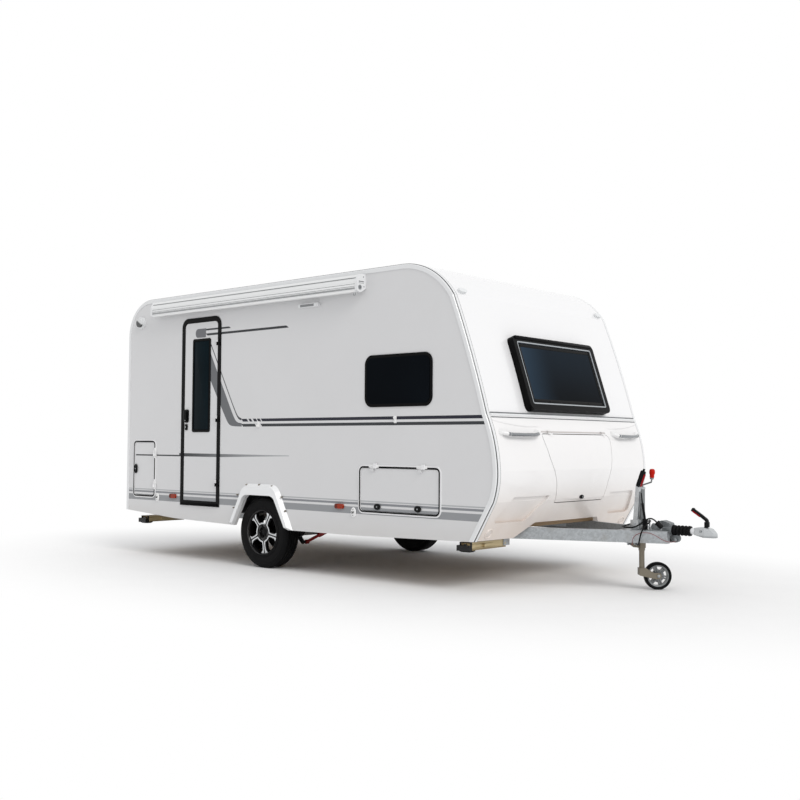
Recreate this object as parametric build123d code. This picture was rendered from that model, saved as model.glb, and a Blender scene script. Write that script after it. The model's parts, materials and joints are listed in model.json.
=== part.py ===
# Travel caravan on one axle with a steel drawbar and a jockey wheel, built as separate pieces.
# Millimetres, +Z up, +X towards the tow coupling, +Y to the caravan's left.
# The sizes are written with the origin on the ground under the axle; export moves the whole
# vehicle along X so that the origin lies under the middle of its overall length.
import math
import os

from build123d import *

# Body
BODY_WIDTH = 2300.0
SIDE_WALL = 30.0
PANEL = 30.0
TRIM_WIDTH = 42.0
TRIM_DEPTH = 46.0
TRIM_PROUD = 5.0
TRIM_EDGE = 14.0
TAIL_X = -2135.0
ROOF_Z = 2625.0
TAIL_RADIUS = 370.0
ROOF_END_X = 1720.0
BROW_X = 2267.0
BROW_Z = ROOF_Z - 295.0
WAIST_X = 2590.0
WAIST_Z = 1386.0
WAIST_BOW = 14.0
BELLY_X = 2698.0
BELLY_Z = 945.0
BELLY_BOW = 22.0
CHIN_X = 2657.0
CHIN_Z = 706.0
TOE_X = 2474.0
TOE_Z = 395.0

# Lower edge of the side walls as x, z from the tail to the toe
SKIRT_LINE = ((TAIL_X - 80, 450), (-1300, 392), (0, 367), (1236, 373), (TOE_X + 240, 404))

# Floor and inner fittings
FLOOR_Z = 480.0
FLOOR_THICK = 44.0
BULKHEAD_X = 2130.0
BULKHEAD_THICK = 25.0
SHELF_THICK = 18.0

# Running gear
TYRE_R = 324.5
TYRE_WIDTH = 185.0
TYRE_FACE_Y = 1130.0
RIM_R = 205.0
RIM_SPOKES = 5
ARCH_HALF_LOW = 374.0
ARCH_HALF_TOP = 205.0
ARCH_TOP = 668.0
ARCH_CORNER = 90.0
ARCH_FLARE_LOW = 440.0
ARCH_FLARE_TOP = 228.0
ARCH_FLARE_Z = 770.0
ARCH_FLARE_PROUD = 40.0
WHEEL_BOX_WALL = 12.0
WHEEL_BOX_INNER_Y = 905.0
WHEEL_BOX_TOP = 745.0
WHEEL_BOX_HALF = 420.0

# Entrance door
DOOR_X0 = -1205.0
DOOR_X1 = -597.0
DOOR_Z0 = 530.0
DOOR_Z1 = ROOF_Z - 248.0
DOOR_BAR = 47.0
DOOR_CORNER = 90.0
DOOR_HANDLE_Z = 1410.0
DOOR_GAP = 4.0
HINGE_OUT = 16.0
HINGE_PIN_R = 5.0
HINGE_R = 8.0
HINGE_HALF = 32.0
HINGE_PLAY = 0.3
HINGE_STRAP = 34.0
HINGE_INSET = 3.0
FRAME_PROUD = 6.0
LEAF_PROUD = 2.0
DOOR_HINGE_Z = (DOOR_Z0 + 230.0, DOOR_Z0 + 850.0, DOOR_Z1 - 257.0)
GAS_HINGE = (2683.0, 1240.0)
GAS_HINGE_Y = 415.0
GAS_HINGE_R = 6.0
GAS_HINGE_PIN_R = 3.5

# Chassis
RAIL_Y = 620.0
RAIL_TOP = FLOOR_Z
RAIL_HIGH = 95.0
RAIL_WIDE = 42.0
RAIL_X0 = -1960.0
RAIL_X1 = 2180.0
BEAM_SLOPE = 0.41
BEAM_NOSE_X = 3550.0
BEAM_NOSE_Y = 70.0
BEAM_WALL = 5.0
AXLE_X = 165.0
AXLE_Z = 335.0
AXLE_R = 50.0

# Coupling
TIP_X = 3917.0
BALL_X = 3868.0
BALL_R = 25.5
BALL_MOUTH_Z = 446.0
SHAFT_Z = 487.0
SHAFT_R = 25.0

# Jockey wheel and its leg
LEG_X = 3280.0
LEG_R = 21.5
LEG_TUBE_R = 26.0
LEG_TUBE_BOTTOM = 310.0
LEG_TUBE_TOP = 812.0
JOCKEY_R = 109.4
JOCKEY_WIDE = 60.0
JOCKEY_AXLE_R = 8.0
JOCKEY_TRAIL = 125.0
JOCKEY_HEADING = 40.6

# Corner steadies
STEADY_X = (2360.0, -1860.0)
STEADY_PIVOT_Y = 668.0
STEADY_FOOT_Y = 1112.0
STEADY_Z = 357.0
STEADY_WIDE = 110.0
STEADY_HIGH = 62.0

RUN = 0.05
SEAT = 0.3
HALF = BODY_WIDTH / 2
WALL_IN = HALF - SIDE_WALL
TRIM_IN = HALF + TRIM_PROUD - TRIM_DEPTH
ROW_SHIFT = -(TAIL_X - 22.0 + TIP_X) / 2

# Windows, hatches and vents
SIDE_WINDOWS = {
    "right": ((1317.0, 2056.0, 1452.0, 1887.0, 80.0),),
    "left": ((1317.0, 2056.0, 1452.0, 1887.0, 80.0), (-1560.0, -760.0, 1452.0, 1887.0, 80.0)),
}
LOCKER = (1248.0, 2152.0, 564.0, 971.0, 55.0)
SERVICE = (-2014.0, -1619.0, 580.0, 1175.0, 60.0)
FRONT_WINDOW = (1233.0, 641.0, 50.0)
FRONT_WINDOW_AT = (2503.0, 0.0, 1722.0)
FRONT_WINDOW_LEAN = 18.3
REAR_WINDOW = (-520.0, 520.0, 1400.0, 1900.0, 80.0)
WINDOW_RING = 26.0
HATCH_RING = 24.0
VENTS = ((380.0, 820.0, 760.0, 980.0), (380.0, 820.0, 1330.0, 1550.0))

# Roof and tail
ROOFLIGHTS = ((-900.0, 400.0), (1000.0, 700.0))
REAR_LOW = 640.0

# Front lower moulding
NOSE_BULGE = 58.0
MOULD_BACK = 100.0
MOULD_WALL = 22.0
POCKET_DEPTH = 24.0
# Front outline of the gas locker door as y, z, corner radius, and of its deeper inner frame
GAS_DOOR = ((-535, 1238, 25), (535, 1238, 60), (480, 1020, 120), (405, 840, 60), (372, 676, 18),
            (-372, 676, 18), (-405, 840, 60), (-480, 1020, 120))
GAS_CORE = ((-500, 1204, 8), (500, 1204, 30), (450, 1010, 60), (376, 835, 30), (346, 704, 6),
            (-346, 704, 6), (-376, 835, 30), (-450, 1010, 60))
GAS_GAP = 6.0
GAS_SKIN = 16.0
POCKET = ((470, 742, 0), (920, 742, 20), (1045, 540, 30), (640, 540, 60), (560, 640, 60))
BEAM_GAP = ((-480, 520, 24), (480, 520, 24), (670, 395, 0), (670, 300, 0), (-670, 300, 0), (-670, 395, 0))

# Door window and hinge lines
DOOR_WINDOW = (-1030.0, -751.0, DOOR_Z0 + 720.0, DOOR_Z1 - 210.0, 22.0)
DOOR_WINDOW_RIM = 24.0
DOOR_HINGE_X = DOOR_X1 - DOOR_BAR + HINGE_INSET
HINGE_Y = -HALF - HINGE_OUT
LOCKER_HINGE_Z = LOCKER[3] - HATCH_RING + HINGE_INSET
SERVICE_HINGE_X = SERVICE[1] - HATCH_RING + HINGE_INSET
# Hinges of the two hatches as x, z, turn
LOCKER_HINGES = ((1430.0, LOCKER_HINGE_Z, -90.0), (1955.0, LOCKER_HINGE_Z, -90.0))
SERVICE_HINGES = ((SERVICE_HINGE_X, 720.0, 0.0), (SERVICE_HINGE_X, 1040.0, 0.0))

# Latches of the hatches as x, z
LOCKER_LATCHES = ((1471.0, 625.0), (1913.0, 625.0))
SERVICE_LATCHES = ((-1959.0, 874.0),)

# Lamps: side markers as x, z, front markers as y, then the porch and bar lamps
SIDE_MARKERS = ((-1320.0, 612.0), (1029.0, 612.0))
FRONT_MARKER_Y = 1030.0
PORCH_LAMP = (-1900.0, ROOF_Z - 235.0)
BAR_LAMP = (505.0, 765.0, ROOF_Z - 273.0, ROOF_Z - 239.0, 14.0)

# Front handles
HANDLE_Y0 = 590.0
HANDLE_Y1 = 1055.0
HANDLE_Z = WAIST_Z - 146.0
HANDLE_STAND = 52.0
HANDLE_R = 11.0

# Awning
AWNING_X0 = -1612.0
AWNING_X1 = 1313.0
AWNING_Z0 = ROOF_Z - 204.0
AWNING_Z1 = ROOF_Z - 51.0
AWNING_OUT = 100.0
AWNING_CAP = 30.0

# Overrun housing and bellows
HOUSING_X0 = 3382.0
HOUSING_X1 = 3557.0
HOUSING_HALF = 45.0
FLANGE = 7.0
BELLOWS_R = 40.0
BELLOWS_X1 = 3707.0
BELLOWS_FOLDS = 5
BALL_DEPTH = 24.0

# Handbrake
LEVER_Y = -80.0
LEVER_WIDE = 26.0

# Jockey fork
FORK_TOP = 172.0
LEG_TOP = 640.0
SWIVEL_R = 10.0
SWIVEL_LONG = 40.0
FORK_PLATE = 5.0

# Arms, drums and dampers
ARM_Y0 = 795.0
ARM_Y1 = 845.0
DRUM_Y0 = 866.0
DRUM_Y1 = 930.0
DRUM_R = 115.0
SPINDLE_R = 15.0
HUB_Y = TYRE_FACE_Y - 40
DAMPER_Y = -(ARM_Y0 - 45)
DAMPER_LOW = (200.0, 228.0)
DAMPER_HIGH = (525.0, 372.0)
DAMPER_PIN_R = 8.0
ARM_LUG = 12.0

# Free cords: route points x, y, z in the sizes' own frame
TOWING_CABLE_D = 12.0
TOWING_CABLE = (
    (3300, -116, 366),
    (3338, -162, 364),
    (3370, -210, 388),
    (3388, -226, 440),
    (3400, -210, 494),
    (3416, -166, 532),
    (3412, -110, 550),
    (3388, -52, 554),
    (3350, -6, 548),
    (3304, 46, 540),
    (3250, 62, 530),
    (3194, 38, 520),
    (3160, -14, 508),
    (3156, -76, 500),
    (3184, -132, 500),
    (3236, -166, 499),
    (3294, -174, 500),
    (3340, -160, 520),
    (3376, -136, 556),
    (3412, -118, 578),
    (3446, -108, 570),
    (3466, -102, 548),
)
BREAKAWAY_D = 4.0
BREAKAWAY = (
    (3262, -146, 368),
    (3290, -166, 366),
    (3308, -204, 382),
    (3320, -222, 420),
    (3352, -218, 456),
    (3400, -198, 470),
    (3448, -176, 468),
    (3490, -154, 446),
    (3532, -134, 416),
    (3566, -98, 399),
    (3582, -56, 397),
    (3583, -14.3, 402),
)

# Plug of the towing cable
PLUG_R = 19.0
PLUG_LONG = 58.0


def rounded_wire_face(corners):
    """Face in local coordinates from a table of u, v, corner radius."""
    points = [(u, v) for u, v, _ in corners]
    radii = [r for _, _, r in corners]
    return make_face(FilletPolyline(*points, radius=radii, close=True))


def on_side(face, y_from, y_to):
    """A face drawn in x, z, made solid between two widths."""
    low, high = sorted((y_from, y_to))
    plane = Plane(origin=(0, high, 0), x_dir=(1, 0, 0), z_dir=(0, -1, 0))
    return extrude(plane * face, amount=high - low)


def on_front(face, x_from, x_to):
    """A face drawn in y, z, made solid between two lengths."""
    low, high = sorted((x_from, x_to))
    plane = Plane(origin=(low, 0, 0), x_dir=(0, 1, 0), z_dir=(1, 0, 0))
    return extrude(plane * face, amount=high - low)


def from_above(face, z_from, z_to):
    """A face drawn in x, y, made solid between two heights."""
    low, high = sorted((z_from, z_to))
    return extrude(Plane.XY.offset(low) * face, amount=high - low)


def block(x0, x1, y0, y1, z0, z1):
    size = (abs(x1 - x0), abs(y1 - y0), abs(z1 - z0))
    return Pos((x0 + x1) / 2, (y0 + y1) / 2, (z0 + z1) / 2) * Box(*size)


def rod(start, end, radius):
    """Round bar between two points."""
    way = Vector(*end) - Vector(*start)
    return extrude(Plane(origin=start, z_dir=way) * Circle(radius), amount=way.length)


def turned_y(x, z, radius, y0, y1):
    return rod((x, min(y0, y1), z), (x, max(y0, y1), z), radius)


def mirrored_pair(piece):
    return Compound(list(piece.solids()) + list(mirror(piece, about=Plane.XZ).solids()))


def group(*pieces):
    return Compound([s for piece in pieces for s in piece.solids()])


def bow_point(start, end, sagitta):
    """Middle point of an arc that bows forward of the chord by the sagitta."""
    along = Vector(end[0] - start[0], end[1] - start[1])
    normal = Vector(-along.Y, along.X).normalized()
    if normal.X < 0:
        normal = normal * -1
    middle = Vector((start[0] + end[0]) / 2, (start[1] + end[1]) / 2)
    out = middle + normal * sagitta
    return (out.X, out.Y)


def body_outline(depth=0.0):
    """Closed side outline in x, z, moved inwards by depth and open far below the skirt."""
    brow_drop = ROOF_Z - BROW_Z
    reach = BROW_X - ROOF_END_X
    brow_r = (reach**2 + brow_drop**2) / (2 * brow_drop)
    centre_z = ROOF_Z - brow_r
    turn = math.atan2(reach, BROW_Z - centre_z) / 2
    brow_mid = (ROOF_END_X + brow_r * math.sin(turn), centre_z + brow_r * math.cos(turn))
    tail_c = (TAIL_X + TAIL_RADIUS, ROOF_Z - TAIL_RADIUS)
    tail_mid = (tail_c[0] - TAIL_RADIUS * math.sqrt(0.5), tail_c[1] + TAIL_RADIUS * math.sqrt(0.5))
    brow = (BROW_X, BROW_Z)
    waist = (WAIST_X, WAIST_Z)
    belly = (BELLY_X, BELLY_Z)
    chin = (CHIN_X, CHIN_Z)
    fall = (TOE_X - CHIN_X) / (TOE_Z - CHIN_Z)
    toe = (TOE_X - fall * (TOE_Z - 150), 150)
    edges = [
        Line((TAIL_X, 150), (TAIL_X, tail_c[1])),
        ThreePointArc((TAIL_X, tail_c[1]), tail_mid, (tail_c[0], ROOF_Z)),
        Line((tail_c[0], ROOF_Z), (ROOF_END_X, ROOF_Z)),
        ThreePointArc((ROOF_END_X, ROOF_Z), brow_mid, brow),
        ThreePointArc(brow, bow_point(brow, waist, WAIST_BOW), waist),
        ThreePointArc(waist, bow_point(waist, belly, BELLY_BOW), belly),
        ThreePointArc(belly, bow_point(belly, chin, 12), chin),
        Line(chin, toe),
        Line(toe, (TAIL_X, 150)),
    ]
    face = make_face(edges)
    return offset(face, amount=-depth) if depth else face


def above_skirt():
    """Everything in x, z above the lower edge of the walls."""
    points = list(SKIRT_LINE) + [(TOE_X + 900, 404), (TOE_X + 900, 3500), (TAIL_X - 80, 3500)]
    return make_face(Polyline(*points, close=True))


def arch_face(half_low, half_top, top, corner, low=200.0):
    """Wheel arch opening in x, z."""
    slope = (half_low - half_top) / (top - 370.0)
    foot = half_low + slope * (370.0 - low)
    return rounded_wire_face(
        ((-foot, low, 0), (-half_top, top, corner), (half_top, top, corner), (foot, low, 0))
    )


def rounded_rect(x0, x1, z0, z1, radius):
    face = RectangleRounded(x1 - x0, z1 - z0, radius)
    return Pos((x0 + x1) / 2, (z0 + z1) / 2) * face


def door_opening(grow=0.0):
    """Entrance opening in x, z with round top corners."""
    return rounded_wire_face(
        (
            (DOOR_X0 - grow, DOOR_Z0 - grow, 0),
            (DOOR_X1 + grow, DOOR_Z0 - grow, 0),
            (DOOR_X1 + grow, DOOR_Z1 + grow, DOOR_CORNER + grow),
            (DOOR_X0 - grow, DOOR_Z1 + grow, DOOR_CORNER + grow),
        )
    )


def wall_region():
    return body_outline(TRIM_WIDTH) & above_skirt()


def side_wall(side):
    """One side wall; side is minus one for the right, plus one for the left."""
    wall = on_side(wall_region(), side * HALF, side * WALL_IN)
    reach = (side * (HALF + 60), side * (WALL_IN - 60))
    wall -= on_side(arch_face(ARCH_HALF_LOW, ARCH_HALF_TOP, ARCH_TOP, ARCH_CORNER), *reach)
    key = "right" if side < 0 else "left"
    for x0, x1, z0, z1, radius in SIDE_WINDOWS[key]:
        wall -= on_side(rounded_rect(x0, x1, z0, z1, radius), *reach)
    if side < 0:
        wall -= on_side(door_opening(), *reach)
        wall -= on_side(rounded_rect(*LOCKER), *reach)
        wall -= on_side(rounded_rect(*SERVICE), *reach)
    else:
        for x0, x1, z0, z1 in VENTS:
            wall -= on_side(rounded_rect(x0, x1, z0, z1, 12), *reach)
    return wall


def corner_trims():
    """White edge mouldings round both sides, with a bevelled outer edge."""
    flat_y = HALF + TRIM_PROUD - TRIM_EDGE
    plane = Plane(origin=(0, -flat_y, 0), x_dir=(1, 0, 0), z_dir=(0, -1, 0))
    outer = extrude(plane * body_outline(), amount=TRIM_EDGE, taper=40)
    outer += on_side(body_outline(), -flat_y, -TRIM_IN)
    outer -= on_side(body_outline(TRIM_WIDTH), -HALF - 50, -HALF + 100)
    outer &= on_side(above_skirt(), -HALF - 50, -HALF + 100)
    return mirrored_pair(outer)


def shell_band():
    return body_outline() - body_outline(PANEL)


def across(face):
    return on_side(face, -TRIM_IN, TRIM_IN)


def region(x0, x1, z0, z1):
    return Pos((x0 + x1) / 2, (z0 + z1) / 2) * Rectangle(x1 - x0, z1 - z0)


def roof_panel():
    piece = across(shell_band() & region(TAIL_X + TAIL_RADIUS, ROOF_END_X, ROOF_Z - 200, ROOF_Z + 50))
    for x, size in ROOFLIGHTS:
        piece -= block(x - size / 2, x + size / 2, -size / 2, size / 2, ROOF_Z - 100, ROOF_Z + 50)
    return piece


def rear_panel():
    piece = across(shell_band() & region(TAIL_X - 50, TAIL_X + TAIL_RADIUS, REAR_LOW, ROOF_Z + 50))
    y0, y1, z0, z1, radius = REAR_WINDOW
    piece -= on_front(rounded_rect(y0, y1, z0, z1, radius), TAIL_X - 50, TAIL_X + 100)
    return piece


def rear_bumper():
    """Moulded lower rear skirt with a step for the lamps."""
    profile = rounded_wire_face(
        (
            (TAIL_X + PANEL, REAR_LOW, 0),
            (TAIL_X, REAR_LOW, 0),
            (TAIL_X - 22, REAR_LOW - 22, 8),
            (TAIL_X - 22, 500, 20),
            (TAIL_X + 6, 448, 10),
            (TAIL_X + PANEL, 448, 0),
        )
    )
    return across(profile)


def front_window_plane(out=0.0):
    lean = math.radians(FRONT_WINDOW_LEAN)
    normal = Vector(math.cos(lean), 0, math.sin(lean))
    origin = Vector(*FRONT_WINDOW_AT) + normal * out
    return Plane(origin=origin, x_dir=(0, 1, 0), z_dir=normal)


def front_window_block(grow, low, high, radius):
    width, height, _ = FRONT_WINDOW
    face = RectangleRounded(width + 2 * grow, height + 2 * grow, radius)
    return extrude(front_window_plane(low) * face, amount=high - low)


def front_panel():
    piece = across(shell_band() & region(ROOF_END_X, BELLY_X + 50, WAIST_Z, ROOF_Z + 50))
    return piece - front_window_block(0, -90, 90, FRONT_WINDOW[2])


def mould_section(y, back):
    """Side profile of the moulding at width y, set back by a wall."""
    bulge = NOSE_BULGE * (1 - (y / TRIM_IN) ** 2)
    grow = bulge - back
    top = (WAIST_X + 0.35 * bulge - back, WAIST_Z)
    belly = (BELLY_X + grow, BELLY_Z)
    chin = (CHIN_X + grow, CHIN_Z)
    toe = (TOE_X + 0.6 * bulge - back, TOE_Z + 6)
    keel = (TOE_X - MOULD_BACK, TOE_Z + 6)
    head = (TOE_X - MOULD_BACK, WAIST_Z)
    edges = [
        ThreePointArc(top, bow_point(top, belly, BELLY_BOW), belly),
        ThreePointArc(belly, bow_point(belly, chin, 10), chin),
        Line(chin, toe),
        Line(toe, keel),
        Line(keel, head),
        Line(head, top),
    ]
    plane = Plane(origin=(0, y, 0), x_dir=(1, 0, 0), z_dir=(0, -1, 0))
    return plane * make_face(edges)


def mould_block(back=0.0):
    widths = (-TRIM_IN, -TRIM_IN / 2, 0.0, TRIM_IN / 2, TRIM_IN)
    return loft([mould_section(y, back) for y in widths])


def nose_shell():
    """Bowed front skin of the gas locker before its door is cut out."""
    outer = mould_block()
    pocket = on_front(rounded_wire_face(POCKET), TOE_X - 200, BELLY_X + 200)
    pocket += mirror(pocket, about=Plane.XZ)
    outer -= pocket - Pos(-POCKET_DEPTH, 0, 0) * outer
    return outer - mould_block(MOULD_WALL + POCKET_DEPTH)


def gas_hinge(y):
    """Barrels of one hinge over the gas locker door: the moulding's with its pin, the door's."""
    x, z = GAS_HINGE
    y0, y1 = y - HINGE_HALF, y + HINGE_HALF
    face = x - DOOR_GAP
    fixed = rod((x, y0, z), (x, y - HINGE_PLAY, z), GAS_HINGE_R)
    fixed += rod((x, y0, z), (x, y1, z), GAS_HINGE_PIN_R)
    fixed += block(face - 20, x + 3, y0, y - HINGE_PLAY, z, z + 22)
    moving = rod((x, y + HINGE_PLAY, z), (x, y1, z), GAS_HINGE_R)
    moving += block(face, x + 3, y + HINGE_PLAY, y1, z - 26, z)
    moving += block(face - 20, face, y + HINGE_PLAY, y1, z - 26, z - GAS_HINGE_R - 1)
    moving -= rod((x, y - 1, z), (x, y1 + 1, z), GAS_HINGE_PIN_R + RUN)
    return fixed, moving


def front_moulding():
    piece = nose_shell() - on_front(rounded_wire_face(GAS_DOOR), TOE_X - 200, BELLY_X + 200)
    piece -= on_front(rounded_wire_face(BEAM_GAP), TOE_X - 300, BELLY_X + 200)
    for y in (-GAS_HINGE_Y, GAS_HINGE_Y):
        piece += gas_hinge(y)[0]
    return piece


def gas_door():
    """Lid of the gas locker: a thin skin to its edge and a deeper frame set in from it."""
    inner = offset(rounded_wire_face(GAS_DOOR), amount=-GAS_GAP)
    panel = nose_shell() & on_front(inner, TOE_X - 60, BELLY_X + 200)
    core = on_front(rounded_wire_face(GAS_CORE), TOE_X - 200, BELLY_X + 300)
    panel -= mould_block(GAS_SKIN) - core
    for y in (-GAS_HINGE_Y, GAS_HINGE_Y):
        panel += gas_hinge(y)[1]
    return panel


def floor_panel():
    """Floor slab, carried forward to the inner face of the moulding."""
    top = FLOOR_Z + FLOOR_THICK
    piece = block(TAIL_X + PANEL, TOE_X - MOULD_BACK, -WALL_IN, WALL_IN, FLOOR_Z, top)
    piece += mould_block(MOULD_WALL + POCKET_DEPTH) & block(
        TOE_X - MOULD_BACK, BELLY_X + 200, -HALF, HALF, FLOOR_Z, top
    )
    for side in (-1, 1):
        piece -= block(
            -WHEEL_BOX_HALF, WHEEL_BOX_HALF, side * WHEEL_BOX_INNER_Y, side * HALF, 300, 700
        )
        piece -= block(TAIL_X, TAIL_X + TRIM_WIDTH, side * TRIM_IN, side * HALF, 300, 700)
    return piece


def front_bulkhead():
    """Wall between the living space and the gas locker, with the locker's lid board."""
    low = FLOOR_Z + FLOOR_THICK
    top = WAIST_Z + SHELF_THICK
    wall = block(BULKHEAD_X, BULKHEAD_X + BULKHEAD_THICK, -WALL_IN, WALL_IN, low, top)
    shelf = across(body_outline(PANEL) & region(BULKHEAD_X, BELLY_X, WAIST_Z, top))
    return wall + shelf


def wheel_boxes():
    outer = block(
        -WHEEL_BOX_HALF, WHEEL_BOX_HALF, -WALL_IN, -WHEEL_BOX_INNER_Y, FLOOR_Z, WHEEL_BOX_TOP
    )
    wall = WHEEL_BOX_WALL
    inner = block(
        wall - WHEEL_BOX_HALF,
        WHEEL_BOX_HALF - wall,
        -WALL_IN - 10,
        -WHEEL_BOX_INNER_Y - wall,
        FLOOR_Z - 10,
        WHEEL_BOX_TOP - wall,
    )
    return mirrored_pair(outer - inner)


def wheel_arch_trims():
    outline = arch_face(ARCH_FLARE_LOW, ARCH_FLARE_TOP, ARCH_FLARE_Z, 120) & above_skirt()
    plane = Plane(origin=(0, -HALF, 0), x_dir=(1, 0, 0), z_dir=(0, -1, 0))
    flare = extrude(plane * outline, amount=ARCH_FLARE_PROUD, taper=32)
    opening = arch_face(ARCH_HALF_LOW, ARCH_HALF_TOP, ARCH_TOP, ARCH_CORNER)
    flare -= on_side(opening, -HALF - 100, -HALF + 100)
    return mirrored_pair(flare)


def ring(face, width):
    return face - offset(face, amount=-width)


def window_frames():
    pieces = []
    for side, key in ((-1, "right"), (1, "left")):
        for x0, x1, z0, z1, radius in SIDE_WINDOWS[key]:
            face = ring(rounded_rect(x0, x1, z0, z1, radius), WINDOW_RING)
            pieces.append(on_side(face, side * (HALF + 8), side * (WALL_IN - 4)))
    y0, y1, z0, z1, radius = REAR_WINDOW
    face = ring(rounded_rect(y0, y1, z0, z1, radius), WINDOW_RING)
    pieces.append(on_front(face, TAIL_X - 8, TAIL_X + PANEL + 4))
    radius = FRONT_WINDOW[2]
    frame = front_window_block(0, -42, 44, radius)
    pieces.append(frame - front_window_block(-48, -90, 90, radius - 30))
    return group(*pieces)


def window_panes():
    pieces = []
    for side, key in ((-1, "right"), (1, "left")):
        for x0, x1, z0, z1, radius in SIDE_WINDOWS[key]:
            face = offset(rounded_rect(x0, x1, z0, z1, radius), amount=-WINDOW_RING)
            pieces.append(on_side(face, side * (HALF + 12), side * (HALF - 12)))
    y0, y1, z0, z1, radius = REAR_WINDOW
    face = offset(rounded_rect(y0, y1, z0, z1, radius), amount=-WINDOW_RING)
    pieces.append(on_front(face, TAIL_X - 12, TAIL_X + 12))
    pieces.append(front_window_block(-48, 8, 32, FRONT_WINDOW[2] - 30))
    return group(*pieces)


def side_hinge(x, z, turn=0.0):
    """Barrels of one hinge on the right wall: the frame's with its pin, and the leaf's.

    It is drawn upright with the frame towards +X; a turn of minus 90 lays it under its frame.
    """
    low, high = -HINGE_HALF, HINGE_HALF
    edge = HINGE_INSET + DOOR_GAP
    fixed = rod((0, HINGE_Y, low), (0, HINGE_Y, -HINGE_PLAY), HINGE_R)
    fixed += rod((0, HINGE_Y, low), (0, HINGE_Y, high), HINGE_PIN_R)
    fixed += block(0, HINGE_STRAP, HINGE_Y, -HALF - FRAME_PROUD, low, -HINGE_PLAY)
    moving = rod((0, HINGE_Y, HINGE_PLAY), (0, HINGE_Y, high), HINGE_R)
    moving += block(-HINGE_STRAP, 0, HINGE_Y, -HALF - FRAME_PROUD - 1, HINGE_PLAY, high)
    moving += block(-HINGE_STRAP, -edge, HINGE_Y, -HALF - LEAF_PROUD, HINGE_PLAY, high)
    moving -= rod((0, HINGE_Y, -1), (0, HINGE_Y, high + 1), HINGE_PIN_R + RUN)
    place = Pos(x, 0, z) * Rot(0, turn, 0)
    return place * fixed, place * moving


def door_frames():
    """Frame of the entrance door and the rings of the two side hatches, with their hinge halves."""
    entry = on_side(door_opening() - door_leaf_face(0), -HALF - FRAME_PROUD, -WALL_IN)
    for z in DOOR_HINGE_Z:
        entry += side_hinge(DOOR_HINGE_X, z)[0]
    pieces = [entry]
    for hatch, hinges in ((LOCKER, LOCKER_HINGES), (SERVICE, SERVICE_HINGES)):
        x0, x1, z0, z1, radius = hatch
        face = ring(rounded_rect(x0, x1, z0, z1, radius), HATCH_RING)
        frame = on_side(face, -HALF - FRAME_PROUD, -WALL_IN)
        for hinge in hinges:
            frame += side_hinge(*hinge)[0]
        pieces.append(frame)
    return group(*pieces)


def door_leaf_face(gap):
    """Outline of the entrance door leaf in x, z."""
    x0 = DOOR_X0 + DOOR_BAR + gap
    x1 = DOOR_X1 - DOOR_BAR - gap
    z0 = DOOR_Z0 + DOOR_BAR + gap
    z1 = DOOR_Z1 - DOOR_BAR - gap
    radius = DOOR_CORNER - DOOR_BAR
    return rounded_wire_face(((x0, z0, 0), (x1, z0, 0), (x1, z1, radius), (x0, z1, radius)))


def door_panel():
    leaf = on_side(door_leaf_face(DOOR_GAP), -HALF - LEAF_PROUD, -WALL_IN)
    leaf -= on_side(rounded_rect(*DOOR_WINDOW), -HALF - 60, -WALL_IN + 60)
    for z in DOOR_HINGE_Z:
        leaf += side_hinge(DOOR_HINGE_X, z)[1]
    return leaf


def door_window():
    frame = on_side(rounded_rect(*DOOR_WINDOW), -HALF - 7, -WALL_IN + 4)
    x0, x1, z0, z1, radius = DOOR_WINDOW
    rim = DOOR_WINDOW_RIM
    inset = rounded_rect(x0 + rim, x1 - rim, z0 + rim, z1 - rim, 10)
    frame -= on_side(inset, -HALF - 60, -HALF - 3)
    return frame


def door_handle():
    """Black pull handle in its dished plate, with the lock piece below."""
    x = DOOR_X0 + DOOR_BAR + 40
    z = DOOR_HANDLE_Z
    face = -HALF - LEAF_PROUD
    plate = on_side(rounded_rect(x - 30, x + 34, z - 65, z + 65, 20), face, face - 8)
    grip = on_side(rounded_rect(x - 14, x + 12, z - 48, z + 50, 12), face - 8, face - 28)
    lock = on_side(rounded_rect(x - 18, x + 18, z - 140, z - 80, 10), face, face - 10)
    return group(plate + grip, lock)


def hatch_panel(hatch, latches, hinges):
    """Side hatch leaf with raised oval latches given as x, z."""
    x0, x1, z0, z1, radius = hatch
    inset = HATCH_RING + DOOR_GAP
    outer = -HALF - LEAF_PROUD
    face = rounded_rect(x0 + inset, x1 - inset, z0 + inset, z1 - inset, radius - inset)
    leaf = on_side(face, outer, -WALL_IN)
    for x, z in latches:
        leaf += on_side(Pos(x, z) * Ellipse(25, 17), outer, outer - 7)
    for hinge in hinges:
        leaf += side_hinge(*hinge)[1]
    return leaf


def locker_door():
    return hatch_panel(LOCKER, LOCKER_LATCHES, LOCKER_HINGES)


def service_door():
    return hatch_panel(SERVICE, SERVICE_LATCHES, SERVICE_HINGES)


def awning_profile(grow=0.0):
    """Cross section in y, z of the wall cassette."""
    y = -HALF
    top, low, out = AWNING_Z1 + grow, AWNING_Z0 - grow, AWNING_OUT + grow
    return rounded_wire_face(
        (
            (y, low + 40, 0),
            (y, top, 0),
            (y - out + 30, top, 35),
            (y - out, top - 60, 40),
            (y - out, low + 12, 14),
            (y - out + 42, low, 20),
        )
    )


def awning_cassette():
    return on_front(awning_profile(), AWNING_X0 + AWNING_CAP, AWNING_X1 - AWNING_CAP)


def awning_end_caps():
    profile = awning_profile(3)
    return group(
        on_front(profile, AWNING_X0, AWNING_X0 + AWNING_CAP),
        on_front(profile, AWNING_X1 - AWNING_CAP, AWNING_X1),
    )


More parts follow.
